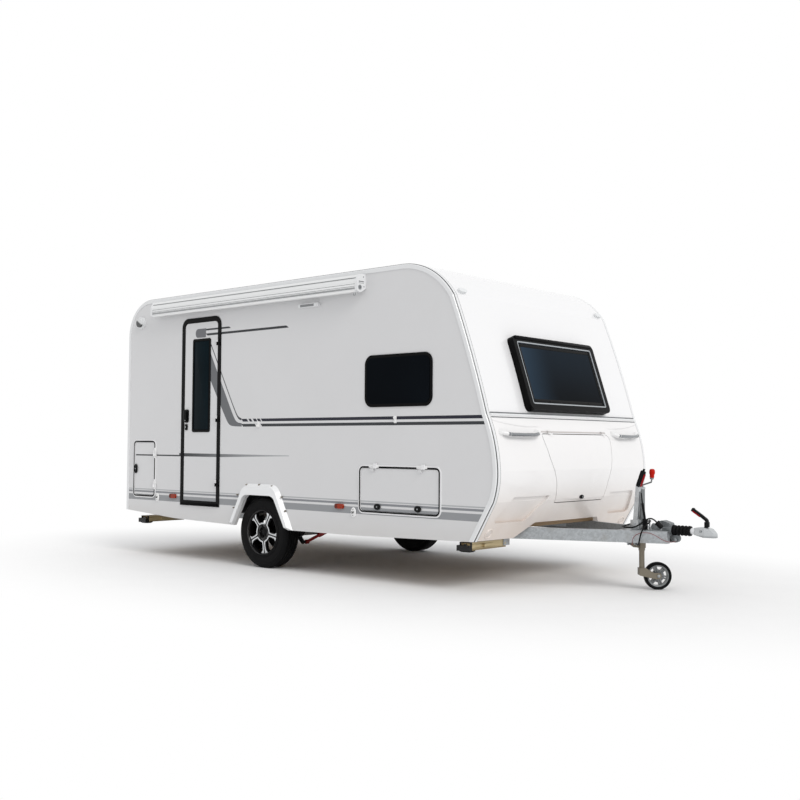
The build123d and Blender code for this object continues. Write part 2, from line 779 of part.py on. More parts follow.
def marker_lamps():
    """Side markers, and the two clear markers high on the front."""
    pieces = []
    for side in (-1, 1):
        for x, z in SIDE_MARKERS:
            face = RectangleRounded(100, 42, 16)
            pieces.append(on_side(Pos(x, z) * face, side * HALF, side * (HALF + 18)))
    lean = math.radians(30)
    normal = Vector(math.cos(lean), 0, math.sin(lean))
    for side in (-1, 1):
        spot = Vector(BROW_X - 19, side * FRONT_MARKER_Y, BROW_Z + 32)
        plane = Plane(origin=spot - normal * 30, x_dir=(0, 1, 0), z_dir=normal)
        lamp = extrude(plane * RectangleRounded(95, 36, 16), amount=52)
        pieces.append(lamp - across(body_outline()))
    return group(*pieces)


def rear_lamps():
    pieces = []
    for side in (-1, 1):
        y = side * (TRIM_IN - 120)
        face = RectangleRounded(120, 420, 28)
        pieces.append(on_front(Pos(y, 900) * face, TAIL_X - 24, TAIL_X))
    return group(*pieces)


def wall_lamps():
    """Round porch lamp near the tail and the bar lamp under the awning."""
    base = turned_y(*PORCH_LAMP, 62, -HALF, -HALF - 22)
    dome = turned_y(*PORCH_LAMP, 46, -HALF - 22, -HALF - 44)
    bar = on_side(rounded_rect(*BAR_LAMP), -HALF, -HALF - 24)
    return group(base + dome, bar)


def mould_front_x(y, z):
    """Forward face of the lower moulding at a width and height above its belly."""
    bulge = NOSE_BULGE * (1 - (y / TRIM_IN) ** 2)
    top = (WAIST_X + 0.35 * bulge, WAIST_Z)
    belly = (BELLY_X + bulge, BELLY_Z)
    share = (z - BELLY_Z) / (WAIST_Z - BELLY_Z)
    chord = belly[0] + share * (top[0] - belly[0])
    return chord + 4 * BELLY_BOW * share * (1 - share)


def grab_handles():
    """Bowed pull handles on both sides of the gas locker door."""
    y0, y1, z, stand = HANDLE_Y0, HANDLE_Y1, HANDLE_Z, HANDLE_STAND
    feet = [(mould_front_x(y, z), y) for y in (y0, y1)]
    route = [
        (feet[0][0] - 12, y0, z),
        (feet[0][0] + stand * 0.7, y0 + 8, z),
        (feet[0][0] + stand, y0 + 70, z - 12),
        (feet[1][0] + stand, y1 - 90, z - 12),
        (feet[1][0] + stand * 0.6, y1 - 12, z),
        (feet[1][0] - 12, y1, z),
    ]
    path = FilletPolyline(*route, radius=18)
    bar = sweep(Plane(origin=path @ 0, z_dir=path % 0) * Circle(HANDLE_R), path=path)
    for x, y in feet:
        bar += rod((x - 12, y, z), (x + 14, y, z), 22)
    bar -= mould_block()
    return mirrored_pair(bar)


def fridge_vents():
    """Louvred vents on the left wall."""
    pieces = []
    for x0, x1, z0, z1 in VENTS:
        plate = on_side(rounded_rect(x0, x1, z0, z1, 12), HALF + 8, WALL_IN)
        count = 5
        pitch = (z1 - z0) / (count + 1)
        for index in range(count):
            z = z0 + pitch * (index + 1)
            plate -= block(x0 + 20, x1 - 20, HALF - 6, HALF + 20, z - 9, z + 9)
        pieces.append(plate)
    return group(*pieces)


def rooflights():
    pieces = []
    for x, size in ROOFLIGHTS:
        half = size / 2
        frame = block(x - half, x + half, -half, half, ROOF_Z - PANEL, ROOF_Z + 20)
        frame -= block(x - half + 25, x + half - 25, 25 - half, half - 25, ROOF_Z - 90, ROOF_Z + 8)
        lid = Plane.XY.offset(ROOF_Z + 20) * Pos(x, 0) * RectangleRounded(size + 50, size + 50, 50)
        pieces.append(frame + extrude(lid, amount=45, taper=30))
    return group(*pieces)


# Chassis
def beam_y(x):
    """Middle of a drawbar beam at a length."""
    return BEAM_NOSE_Y + BEAM_SLOPE * (BEAM_NOSE_X - x)


def chassis_rails():
    """Two long channel members under the floor and the cross members between them."""
    low = RAIL_TOP - RAIL_HIGH
    half = RAIL_WIDE / 2
    rail = block(RAIL_X0, RAIL_X1, -RAIL_Y - half, -RAIL_Y + half, low, RAIL_TOP)
    rail -= block(
        RAIL_X0 - 10,
        RAIL_X1 + 10,
        -RAIL_Y - half + BEAM_WALL,
        -RAIL_Y + half + 10,
        low + BEAM_WALL,
        RAIL_TOP - BEAM_WALL,
    )
    inner = RAIL_Y - half
    members = [rail, mirror(rail, about=Plane.XZ)]
    whole = members[0] + members[1]
    for x in (RAIL_X0 + 60, -980.0, 1200.0):
        whole += block(x - 20, x + 20, -inner - 1, inner + 1, low, RAIL_TOP - 10)
    return whole


def beam_length(x0, x1, width, low, high):
    """Straight piece of the right drawbar beam between two lengths."""
    face = make_face(
        Polyline(
            (x0, -beam_y(x0) - width / 2),
            (x1, -beam_y(x1) - width / 2),
            (x1, -beam_y(x1) + width / 2),
            (x0, -beam_y(x0) + width / 2),
            close=True,
        )
    )
    return from_above(face, low, high)


def drawbar():
    """Tapering pair of beams joined by plates at the nose."""
    low = RAIL_TOP - RAIL_HIGH
    beam = beam_length(RAIL_X1, BEAM_NOSE_X, RAIL_WIDE, low, RAIL_TOP)
    both = beam + mirror(beam, about=Plane.XZ)
    for z0 in (low, RAIL_TOP - 6):
        x0, x1 = 3175.0, 3520.0
        plate = make_face(
            Polyline(
                (x0, -beam_y(x0)), (x1, -beam_y(x1)), (x1, beam_y(x1)), (x0, beam_y(x0)), close=True
            )
        )
        both += from_above(plate, z0, z0 + 6)
    both -= rod((LEG_X, 0, low - 20), (LEG_X, 0, RAIL_TOP + 20), LEG_TUBE_R + SEAT)
    both -= block(HOUSING_X0 - 3, BEAM_NOSE_X + 60, -HOUSING_HALF - 1, HOUSING_HALF + 1, low - 5, 520)
    return both


def overrun_housing():
    """Cast housing of the overrun brake on the nose of the beams."""
    body = rod((HOUSING_X0, 0, SHAFT_Z), (HOUSING_X1, 0, SHAFT_Z), HOUSING_HALF)
    flange_face = make_face(
        Polyline(
            (HOUSING_X0 + 10, -beam_y(HOUSING_X0 + 10) - 10),
            (3500, -beam_y(3500) - 14),
            (3500, beam_y(3500) + 14),
            (HOUSING_X0 + 10, beam_y(HOUSING_X0 + 10) + 10),
            close=True,
        )
    )
    body += from_above(flange_face, RAIL_TOP, RAIL_TOP + FLANGE)
    hump = on_side(
        rounded_wire_face(
            (
                (3428, RAIL_TOP, 0),
                (3434, 548, 16),
                (3476, 560, 20),
                (3545, 540, 14),
                (3550, RAIL_TOP, 0),
            )
        ),
        -38,
        38,
    )
    body += hump
    lug = turned_y(3585, 425, 30, -14, 14) + block(3545, 3600, -14, 14, 425, 445)
    body += lug - rod((3540, 0, SHAFT_Z), (3640, 0, SHAFT_Z), BELLOWS_R + 1)
    body -= turned_y(3585, 415, 8, -30, 30)
    bore = rod((HOUSING_X1 - 70, 0, SHAFT_Z), (HOUSING_X1 + 10, 0, SHAFT_Z), SHAFT_R + SEAT)
    return body - bore


def bellows():
    """Ribbed rubber gaiter round the sliding shaft."""
    x0, x1 = HOUSING_X1, BELLOWS_X1
    pitch = (x1 - x0) / BELLOWS_FOLDS
    outline = [(x0, SHAFT_R + SEAT), (x0, BELLOWS_R - 4)]
    for index in range(BELLOWS_FOLDS):
        start = x0 + index * pitch
        outline.append((start + pitch * 0.35, BELLOWS_R))
        outline.append((start + pitch * 0.65, BELLOWS_R))
        if index < BELLOWS_FOLDS - 1:
            outline.append((start + pitch, BELLOWS_R - 9))
    outline += [(x1, BELLOWS_R - 7), (x1, SHAFT_R + SEAT)]
    face = make_face(Polyline(*outline, close=True))
    turned = revolve(Plane.XZ * face, axis=Axis.X)
    return Pos(0, 0, SHAFT_Z) * turned


def head_block():
    """Outer form of the coupling head."""
    profile = rounded_wire_face(
        (
            (3742, 462, 8),
            (3820, BALL_MOUTH_Z, 0),
            (TIP_X, BALL_MOUTH_Z, 4),
            (TIP_X - 6, 474, 12),
            (3872, 512, 26),
            (3815, 526, 20),
            (3742, 516, 10),
        )
    )
    plan = rounded_wire_face(
        (
            (3742, -30, 4),
            (3830, -42, 20),
            (TIP_X, -32, 30),
            (TIP_X, 32, 30),
            (3830, 42, 20),
            (3742, 30, 4),
        )
    )
    return on_side(profile, -60, 60) & from_above(plan, 400, 600)


def coupling_head():
    """Pressed coupling head with its ball socket, on the sliding shaft."""
    shaft = rod((HOUSING_X1 - 60, 0, SHAFT_Z), (3790, 0, SHAFT_Z), SHAFT_R)
    socket_z = BALL_MOUTH_Z + BALL_DEPTH
    socket = rod((BALL_X, 0, BALL_MOUTH_Z - 10), (BALL_X, 0, socket_z), BALL_R)
    socket += Pos(BALL_X, 0, socket_z) * Sphere(BALL_R)
    return (shaft + head_block()) - socket


def coupling_handle():
    """Bent release handle over the coupling head."""
    route = [(3822, 0, SHAFT_Z), (3838, 0, 575), (3790, 0, 610), (3724, 0, 652)]
    path = FilletPolyline(*route, radius=14)
    start = Plane(origin=path @ 0, x_dir=(0, 1, 0), z_dir=path % 0)
    grip = sweep(start * RectangleRounded(30, 24, 8), path=path)
    return grip - head_block()


def handbrake_lever():
    """Channel lever that stands up from its ratchet plates, with its grip."""
    profile = rounded_wire_face(
        (
            (3238, RAIL_TOP + SEAT, 6),
            (3300, RAIL_TOP + SEAT, 6),
            (3292, 560, 20),
            (3310, 800, 14),
            (3352, 930, 12),
            (3324, 946, 12),
            (3278, 826, 14),
            (3252, 540, 20),
        )
    )
    y0, y1 = LEVER_Y - LEVER_WIDE / 2, LEVER_Y + LEVER_WIDE / 2
    lever = on_side(profile, y0, y1)
    channel = rounded_wire_face(
        ((3270, 560, 0), (3330, 560, 0), (3330, 782, 0), (3292, 782, 6))
    )
    lever -= on_side(channel, y0 + 4, y1 - 4)
    return lever


def handbrake_strut():
    """Gas strut that holds the lever, from a lug on the drawbar plate."""
    foot = (3352, LEVER_Y, 560)
    head = (3306 + 14, LEVER_Y, 770)
    tube = rod(foot, (3331, LEVER_Y, 690), 10) + rod((3331, LEVER_Y, 690), head, 5)
    lug = block(3335, 3372, LEVER_Y - 9, LEVER_Y + 9, RAIL_TOP, 566)
    return tube + lug


# Jockey wheel
def jockey_tube():
    """Outer tube in its clamp, with the crank on top."""
    low = RAIL_TOP - RAIL_HIGH
    tube = rod((LEG_X, 0, LEG_TUBE_BOTTOM), (LEG_X, 0, LEG_TUBE_TOP), LEG_TUBE_R)
    tube += rod((LEG_X, 0, 330), (LEG_X, 0, low), LEG_TUBE_R + 6)
    gusset = rounded_wire_face(
        ((3150, low, 0), (3150, low - 10, 4), (3232, 334, 4), (3275, 334, 0), (3275, low, 0))
    )
    tube += on_side(gusset, -46, -28)
    tube += on_side(gusset, -46, 46) & block(3140, 3300, -46, 46, low - 10, low)
    tube -= rod((LEG_X, 0, LEG_TUBE_BOTTOM - 5), (LEG_X, 0, 760), LEG_R + RUN)
    crank = rod((LEG_X, 0, LEG_TUBE_TOP), (LEG_X, 0, 834), 12)
    crank += rod((LEG_X - 4, 0, 826), (3368, 0, 856), 6)
    crank += rod((3364, 0, 850), (3372, 0, 884), 6)
    crank += rod((3370, 0, 878), (3374, 0, 958), 15)
    return tube + crank


def jockey_leg():
    """Sliding inner tube."""
    leg = rod((LEG_X, 0, FORK_TOP + SEAT), (LEG_X, 0, LEG_TOP), LEG_R)
    pin_top = FORK_TOP + SWIVEL_LONG
    return leg - rod((LEG_X, 0, FORK_TOP - 5), (LEG_X, 0, pin_top + 1), SWIVEL_R + RUN)


def in_trail(piece):
    """Turns a piece drawn with its wheel ahead of the leg to the angle at which it stands."""
    turned = Rot(0, 0, JOCKEY_HEADING) * piece
    return Pos(LEG_X, 0, 0) * turned


def jockey_fork():
    """Two cheek plates and the collar under the leg."""
    cheek = rounded_wire_face(
        (
            (-26, FORK_TOP, 6),
            (-26, 114, 6),
            (100, JOCKEY_R - 24, 24),
            (JOCKEY_TRAIL + 24, JOCKEY_R - 24, 23),
            (JOCKEY_TRAIL + 24, JOCKEY_R + 24, 23),
            (90, JOCKEY_R + 26, 20),
            (26, FORK_TOP, 6),
        )
    )
    inner = JOCKEY_WIDE / 2 + 4
    pair = on_side(cheek, inner, inner + FORK_PLATE)
    pair += on_side(cheek, -inner, -inner - FORK_PLATE)
    pair += block(-26, 26, -inner - FORK_PLATE, inner + FORK_PLATE, FORK_TOP - 8, FORK_TOP)
    pair += block(-26, -18, -inner - FORK_PLATE, inner + FORK_PLATE, 116, FORK_TOP)
    pair += turned_y(JOCKEY_TRAIL, JOCKEY_R, JOCKEY_AXLE_R, -inner - 12, inner + 12)
    pair += rod((0, 0, FORK_TOP - 4), (0, 0, FORK_TOP + SWIVEL_LONG), SWIVEL_R)
    return in_trail(pair)


def jockey_wheel():
    """Solid rubber wheel with a ribbed centre."""
    half = JOCKEY_WIDE / 2
    face = rounded_wire_face(
        (
            (80, -half + 6, 0),
            (92, -half, 6),
            (JOCKEY_R, -half + 6, 14),
            (JOCKEY_R, half - 6, 14),
            (92, half, 6),
            (80, half - 6, 0),
        )
    )
    wheel = revolve(Plane.XZ * face, axis=Axis.Z)
    centre = Cylinder(84, 16) + Cylinder(22, 2 * half)
    for index in range(6):
        centre += Rot(0, 0, index * 60) * Pos(50, 0, 0) * Box(70, 8, 36)
    for index in range(6):
        centre -= Rot(0, 0, index * 60 + 30) * Pos(52, 0, 0) * Cylinder(14, 60)
    wheel += centre
    wheel -= Cylinder(JOCKEY_AXLE_R + RUN, JOCKEY_WIDE + 10)
    upright = Pos(JOCKEY_TRAIL, 0, JOCKEY_R) * (Rot(90, 0, 0) * wheel)
    return in_trail(upright)


# Axle and wheels
def axle_tube():
    """Axle beam hung from both rails by its plates."""
    low = RAIL_TOP - RAIL_HIGH
    tube = turned_y(AXLE_X, AXLE_Z, AXLE_R, -ARM_Y0, ARM_Y0)
    half = RAIL_WIDE / 2
    for side in (-1, 1):
        y0, y1 = side * (RAIL_Y - half), side * (RAIL_Y + half)
        tube += block(AXLE_X - 130, AXLE_X + 130, y0, y1, low - 10, low)
        tube += block(AXLE_X - 60, AXLE_X + 60, y0, y1, AXLE_Z - 20, low - 5)
    return tube


def swing_arms():
    """Trailing arms with their brake back plates and wheel spindles."""
    face = make_hull(
        [*(Pos(AXLE_X, AXLE_Z) * Circle(58)).edges(), *(Pos(0, TYRE_R) * Circle(40)).edges()]
    )
    arm = on_side(face, -ARM_Y0, -ARM_Y1)
    lug = make_hull(
        [*(Pos(*DAMPER_LOW) * Circle(19)).edges(), *(Pos(110, 315) * Circle(30)).edges()]
    )
    arm += on_side(lug, -ARM_Y0, -ARM_Y0 - ARM_LUG)
    arm += turned_y(*DAMPER_LOW, DAMPER_PIN_R, -ARM_Y0 - ARM_LUG / 2, DAMPER_Y + 20)
    arm += turned_y(0, TYRE_R, 36, -ARM_Y1 + 2, -DRUM_Y0 + 14)
    arm += turned_y(0, TYRE_R, DRUM_R + 3, -DRUM_Y0 + 14, -DRUM_Y0 + 6)
    arm += turned_y(0, TYRE_R, SPINDLE_R, -DRUM_Y0 + 10, -HUB_Y + 30)
    return mirrored_pair(arm)


def dampers():
    """Red shock dampers between the arms' lugs and brackets on the rails."""
    low = (DAMPER_LOW[0], DAMPER_Y, DAMPER_LOW[1])
    high = (DAMPER_HIGH[0], DAMPER_Y, DAMPER_HIGH[1])
    middle = tuple(a + 0.5 * (b - a) for a, b in zip(low, high))
    piece = rod(low, middle, 14) + rod(middle, high, 22)
    piece += turned_y(*DAMPER_LOW, 20, DAMPER_Y - 16, DAMPER_Y + 16)
    piece -= turned_y(*DAMPER_LOW, DAMPER_PIN_R + RUN, DAMPER_Y - 30, DAMPER_Y + 30)
    outer_y = -RAIL_Y - RAIL_WIDE / 2
    x, z = DAMPER_HIGH
    piece += block(x - 20, x + 20, DAMPER_Y - 25, outer_y, z - 12, z + 14)
    piece += block(x - 20, x + 20, outer_y - 10, outer_y, z - 12, RAIL_TOP - 12)
    return mirrored_pair(piece)


def tyre(side):
    """Road tyre with rounded shoulders and two main grooves."""
    half = TYRE_WIDTH / 2
    bead = RIM_R - 9
    wall = [
        (bead, -half + 24),
        (bead + 10, -half + 21),
        (bead + 30, -half + 4),
        (bead + 64, -half),
        (TYRE_R - 22, -half + 8),
        (TYRE_R - 4, -half + 26),
        (TYRE_R, -half + 48),
    ]
    grooves = [
        (TYRE_R, -34),
        (TYRE_R - 8, -32),
        (TYRE_R - 8, -24),
        (TYRE_R, -22),
        (TYRE_R, 22),
        (TYRE_R - 8, 24),
        (TYRE_R - 8, 32),
        (TYRE_R, 34),
    ]
    inner = [(bead, half - 40), (bead + 40, half - 16), (TYRE_R - 24, half - 34)]
    back = [(TYRE_R - 24, -half + 34), (bead + 40, -half + 16), (bead, -half + 40)]
    outline = wall + grooves + [(r, -y) for r, y in reversed(wall)] + inner + back
    face = make_face(Polyline(*outline, close=True))
    turned = revolve(Plane.XZ * face, axis=Axis.Z)
    return Pos(0, side * (TYRE_FACE_Y - half), TYRE_R) * (Rot(90, 0, 0) * turned)


def rim(side):
    """Alloy rim: barrel, hub and pairs of spokes; drawn for the right, turned for the left."""
    outer = TYRE_FACE_Y - 10
    half = TYRE_WIDTH / 2
    middle = TYRE_FACE_Y - half
    bead = RIM_R - 9
    barrel = rounded_wire_face(
        (
            (bead - 12, outer - middle, 0),
            (bead + 8, outer - middle, 3),
            (bead + 8, half - 20, 3),
            (bead, half - 22, 0),
            (bead, -half + 22, 0),
            (bead + 8, -half + 20, 3),
            (bead + 8, middle - outer, 0),
            (bead - 8, middle - outer, 0),
            (bead - 8, -half + 26, 0),
            (bead - 14, 10, 0),
        )
    )
    ring_part = revolve(Plane.XZ * barrel, axis=Axis.Z)
    wheel = Pos(0, 0, 0) * ring_part
    face_z = outer - middle - 12
    hub = Pos(0, 0, face_z - 25) * Cylinder(58, 38)
    hub += Pos(0, 0, face_z + 2) * Cylinder(30, 22)
    wheel += hub
    for index in range(RIM_SPOKES):
        for lean in (-1, 1):
            root, tip = 30.0, bead - 8.0
            spoke = Polyline(
                (root, lean * 14 - 11),
                (tip, lean * 44 - 10),
                (tip, lean * 44 + 10),
                (root, lean * 14 + 11),
                close=True,
            )
            bar = extrude(Plane.XY.offset(face_z - 34) * make_face(spoke), amount=26)
            wheel += Rot(0, 0, 90 + index * 360 / RIM_SPOKES) * bar
    wheel -= Pos(0, 0, face_z - 60) * Cylinder(SPINDLE_R + RUN, 80)
    turned = Rot(90, 0, 0) * wheel
    right = Pos(0, -middle, TYRE_R) * turned
    return right if side < 0 else mirror(right, about=Plane.XZ)


def drum(side):
    """Brake drum with the wheel flange."""
    body = turned_y(0, TYRE_R, DRUM_R, -DRUM_Y0, -DRUM_Y1)
    body += turned_y(0, TYRE_R, 70, -DRUM_Y1, -(TYRE_FACE_Y - 10 - 12 - 44))
    body -= turned_y(0, TYRE_R, SPINDLE_R + RUN, -DRUM_Y0 + 5, -HUB_Y - 40)
    body -= turned_y(0, TYRE_R, DRUM_R - 12, -DRUM_Y0 + 1, -DRUM_Y0 - 40)
    body += turned_y(0, TYRE_R, 34, -DRUM_Y0, -DRUM_Y1) - turned_y(
        0, TYRE_R, SPINDLE_R + RUN, -DRUM_Y0 + 5, -DRUM_Y1 - 5
    )
    return body if side < 0 else mirror(body, about=Plane.XZ)


# Corner steadies
def steady_brackets():
    """Ears and top plates that hang the four steadies from the chassis."""
    pieces = []
    for x in STEADY_X:
        half = STEADY_WIDE / 2 + 7
        y0 = -(RAIL_Y + RAIL_WIDE / 2) if x < RAIL_X1 else -(beam_y(x) + RAIL_WIDE / 2) - 30
        y1 = -STEADY_PIVOT_Y - 22
        plate = block(x - half, x + half, y0, y1, 402, 412)
        ears = block(x - half, x - half + 6, y0, y1, STEADY_Z - 18, 404)
        ears += block(x + half - 6, x + half, y0, y1, STEADY_Z - 18, 404)
        hanger = block(x - 40, x + 40, y0, y0 - 8, 408, FLOOR_Z)
        piece = plate + ears + hanger
        piece -= rod(
            (x - half - 5, -STEADY_PIVOT_Y, STEADY_Z), (x + half + 5, -STEADY_PIVOT_Y, STEADY_Z), 8 + RUN
        )
        pieces.append(mirrored_pair(piece))
    return group(*pieces)


def steady(x, side):
    """One folded corner leg: a pressed channel with its foot and its screw socket."""
    half = STEADY_WIDE / 2
    high = STEADY_HIGH / 2
    y0, y1 = STEADY_PIVOT_Y - 16, STEADY_FOOT_Y
    top = STEADY_Z + high
    leg = block(x - half, x + half, -y0, -y1, STEADY_Z - high, top)
    leg -= block(x - half + 4, x + half - 4, -y0 + 10, -y1 - 10, STEADY_Z - high - 5, top - 4)
    leg += rod((x - half - 7, -STEADY_PIVOT_Y, STEADY_Z), (x + half + 7, -STEADY_PIVOT_Y, STEADY_Z), 8)
    leg += rod((x + half - 6, -(y0 + y1) / 2 - 60, STEADY_Z), (x + half + 16, -(y0 + y1) / 2 - 60, STEADY_Z), 15)
    leg += block(x - half - 6, x + half + 6, -y1 + 4, -y1 - 30, STEADY_Z - high - 4, STEADY_Z + 8)
    return leg if side < 0 else mirror(leg, about=Plane.XZ)


def cord(points, diameter):
    """Tube of straight runs and tangent arcs along a route."""
    spots = [Vector(*p) for p in points]
    radii = []
    for before, here, after in zip(spots, spots[1:], spots[2:]):
        turn = (here - before).get_angle(after - here)
        shorter = min((here - before).length, (after - here).length)
        radii.append(0.45 * shorter / math.tan(math.radians(turn / 2)))
    path = FilletPolyline(*points, radius=radii)
    tube = sweep(Plane(origin=path @ 0, z_dir=path % 0) * Circle(diameter / 2), path=path)
    length = sum(edge.length for edge in path.edges())
    share = tube.volume / (length * math.pi * diameter**2 / 4)
    print("cord length", round(length), "volume share", round(share, 4), [round(r) for r in radii])
    return tube


def towing_cable():
    return cord(TOWING_CABLE, TOWING_CABLE_D)


def cable_plug():
    """Round plug at the end of the towing cable, resting on the housing's flange."""
    end = Vector(*TOWING_CABLE[-1])
    way = (end - Vector(*TOWING_CABLE[-2])).normalized()
    return rod(end, end + way * PLUG_LONG, PLUG_R) + rod(end, end + way * 14, PLUG_R + 3)


def breakaway_cable():
    return cord(BREAKAWAY, BREAKAWAY_D)


def cable_bracket():
    """Plate under the nose that holds both cables' fixed ends."""
    low = RAIL_TOP - RAIL_HIGH
    start = Vector(*TOWING_CABLE[0])
    way = (Vector(*TOWING_CABLE[1]) - start).normalized()
    lead = Vector(*BREAKAWAY[0])
    lead_way = (Vector(*BREAKAWAY[1]) - lead).normalized()
    plate = block(3216, 3300, -164, -84, low - 6, low)
    plate += block(3240, 3250, -164, -120, low - 24, low)
    plate += block(3264, 3284, -100, -78, low - 24, low)
    plate += rod(start - way * 60, start, 9)
    plate += rod(lead - lead_way * 18, lead, 4)
    return plate


NODES = {
    "side_wall_right": lambda: side_wall(-1),
    "side_wall_left": lambda: side_wall(1),
    "corner_trims": corner_trims,
    "roof_panel": roof_panel,
    "rear_panel": rear_panel,
    "rear_bumper": rear_bumper,
    "front_panel": front_panel,
    "front_moulding": front_moulding,
    "gas_door": gas_door,
    "floor_panel": floor_panel,
    "front_bulkhead": front_bulkhead,
    "wheel_boxes": wheel_boxes,
    "wheel_arch_trims": wheel_arch_trims,
    "window_frames": window_frames,
    "window_panes": window_panes,
    "door_frames": door_frames,
    "door_panel": door_panel,
    "door_window": door_window,
    "door_handle": door_handle,
    "locker_door": locker_door,
    "service_door": service_door,
    "awning_cassette": awning_cassette,
    "awning_end_caps": awning_end_caps,
    "marker_lamps": marker_lamps,
    "rear_lamps": rear_lamps,
    "wall_lamps": wall_lamps,
    "grab_handles": grab_handles,
    "fridge_vents": fridge_vents,
    "rooflights": rooflights,
    "chassis_rails": chassis_rails,
    "drawbar": drawbar,
    "overrun_housing": overrun_housing,
    "bellows": bellows,
    "coupling_head": coupling_head,
    "coupling_handle": coupling_handle,
    "handbrake_lever": handbrake_lever,
    "handbrake_strut": handbrake_strut,
    "jockey_tube": jockey_tube,
    "jockey_leg": jockey_leg,
    "jockey_fork": jockey_fork,
    "jockey_wheel": jockey_wheel,
    "axle_tube": axle_tube,
    "swing_arms": swing_arms,
    "dampers": dampers,
    "tyre_right": lambda: tyre(-1),
    "tyre_left": lambda: tyre(1),
    "rim_right": lambda: rim(-1),
    "rim_left": lambda: rim(1),
    "drum_right": lambda: drum(-1),
    "drum_left": lambda: drum(1),
    "steady_brackets": steady_brackets,
    "steady_front_right": lambda: steady(STEADY_X[0], -1),
    "steady_front_left": lambda: steady(STEADY_X[0], 1),
    "steady_rear_right": lambda: steady(STEADY_X[1], -1),
    "steady_rear_left": lambda: steady(STEADY_X[1], 1),
    "towing_cable": towing_cable,
    "cable_plug": cable_plug,
    "cable_bracket": cable_bracket,
    "breakaway_cable": breakaway_cable,
}


def main():
    os.makedirs("parts", exist_ok=True)
    for name, make in NODES.items():
        shape = Pos(ROW_SHIFT, 0, 0) * make()
        export_step(shape, f"parts/{name}.step")


if __name__ == "__main__":
    main()
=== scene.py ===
"""Looks of a single axle travel caravan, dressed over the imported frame.

Every length is in metres. Distances along the caravan are given from the
axle, as in the frame's source, and moved into the shared frame by AXLE_X.
"""

import json
import logging
import math
from dataclasses import dataclass, field
from enum import Enum

import bmesh
import bpy
from mathutils import Matrix, Vector

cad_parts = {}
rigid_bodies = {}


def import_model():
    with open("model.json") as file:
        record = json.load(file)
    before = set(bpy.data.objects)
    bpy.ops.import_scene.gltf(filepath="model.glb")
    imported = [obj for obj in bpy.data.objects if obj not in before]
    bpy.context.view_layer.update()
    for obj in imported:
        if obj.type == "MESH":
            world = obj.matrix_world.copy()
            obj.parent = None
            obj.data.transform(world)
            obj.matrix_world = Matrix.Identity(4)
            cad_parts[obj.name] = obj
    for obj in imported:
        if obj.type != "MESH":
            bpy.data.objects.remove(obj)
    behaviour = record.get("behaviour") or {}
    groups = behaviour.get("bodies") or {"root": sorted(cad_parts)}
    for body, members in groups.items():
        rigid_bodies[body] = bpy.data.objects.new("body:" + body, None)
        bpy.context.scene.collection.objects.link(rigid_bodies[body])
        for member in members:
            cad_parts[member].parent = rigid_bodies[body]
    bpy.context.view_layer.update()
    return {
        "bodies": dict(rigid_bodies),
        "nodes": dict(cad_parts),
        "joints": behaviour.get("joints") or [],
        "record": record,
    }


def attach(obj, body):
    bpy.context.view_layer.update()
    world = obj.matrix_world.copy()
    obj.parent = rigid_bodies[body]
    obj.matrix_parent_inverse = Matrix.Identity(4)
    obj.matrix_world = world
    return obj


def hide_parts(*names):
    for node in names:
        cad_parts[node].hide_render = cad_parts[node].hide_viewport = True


LOG = logging.getLogger("caravan")

AXLE_X = -0.88
SKIN_Y = 1.15
WELD = 1e-6
SHARP_EDGE = 0.6
SHARP_RIM = 0.9
WHITE = (1.0, 1.0, 1.0, 1.0)

Point = tuple[float, float, float]
Tone = tuple[float, float, float, float]
Rect = tuple[float, float, float, float]
Spots = tuple[tuple[float, float], ...]
Socket = bpy.types.NodeSocket


def ink(text: str) -> Tone:
    """Turn a screen colour into the linear colour that a socket takes.

    Args:
        text: the colour as six hexadecimal digits.

    Returns:
        The linear red, green, blue and an alpha of 1.
    """
    parts = [int(text[i : i + 2], 16) / 255 for i in (0, 2, 4)]
    flat = [c / 12.92 if c <= 0.04045 else ((c + 0.055) / 1.055) ** 2.4 for c in parts]
    return (flat[0], flat[1], flat[2], 1.0)


def corners_of(left: float, right: float, low: float, high: float) -> list[tuple[float, float]]:
    """Corners of a rectangle in order, from its two sides, foot and top."""
    return [(left, low), (right, low), (right, high), (left, high)]


def at(x: float, y: float, z: float) -> Vector:
    """Give the shared frame's point for a point measured from the axle."""
    return Vector((x + AXLE_X, y, z))


def hang(name: str, data: bpy.types.ID) -> bpy.types.Object:
    """Make an object of the data and link it to the scene.

    Args:
        name: the object's name.
        data: its mesh, curve, camera or lamp.

    Returns:
        The object.
    """
    made = bpy.data.objects.new(name, data)
    bpy.context.scene.collection.objects.link(made)
    return made


class Side(Enum):
    """Left or right side of the caravan, as the sign of y."""

    RIGHT = -1
    LEFT = 1


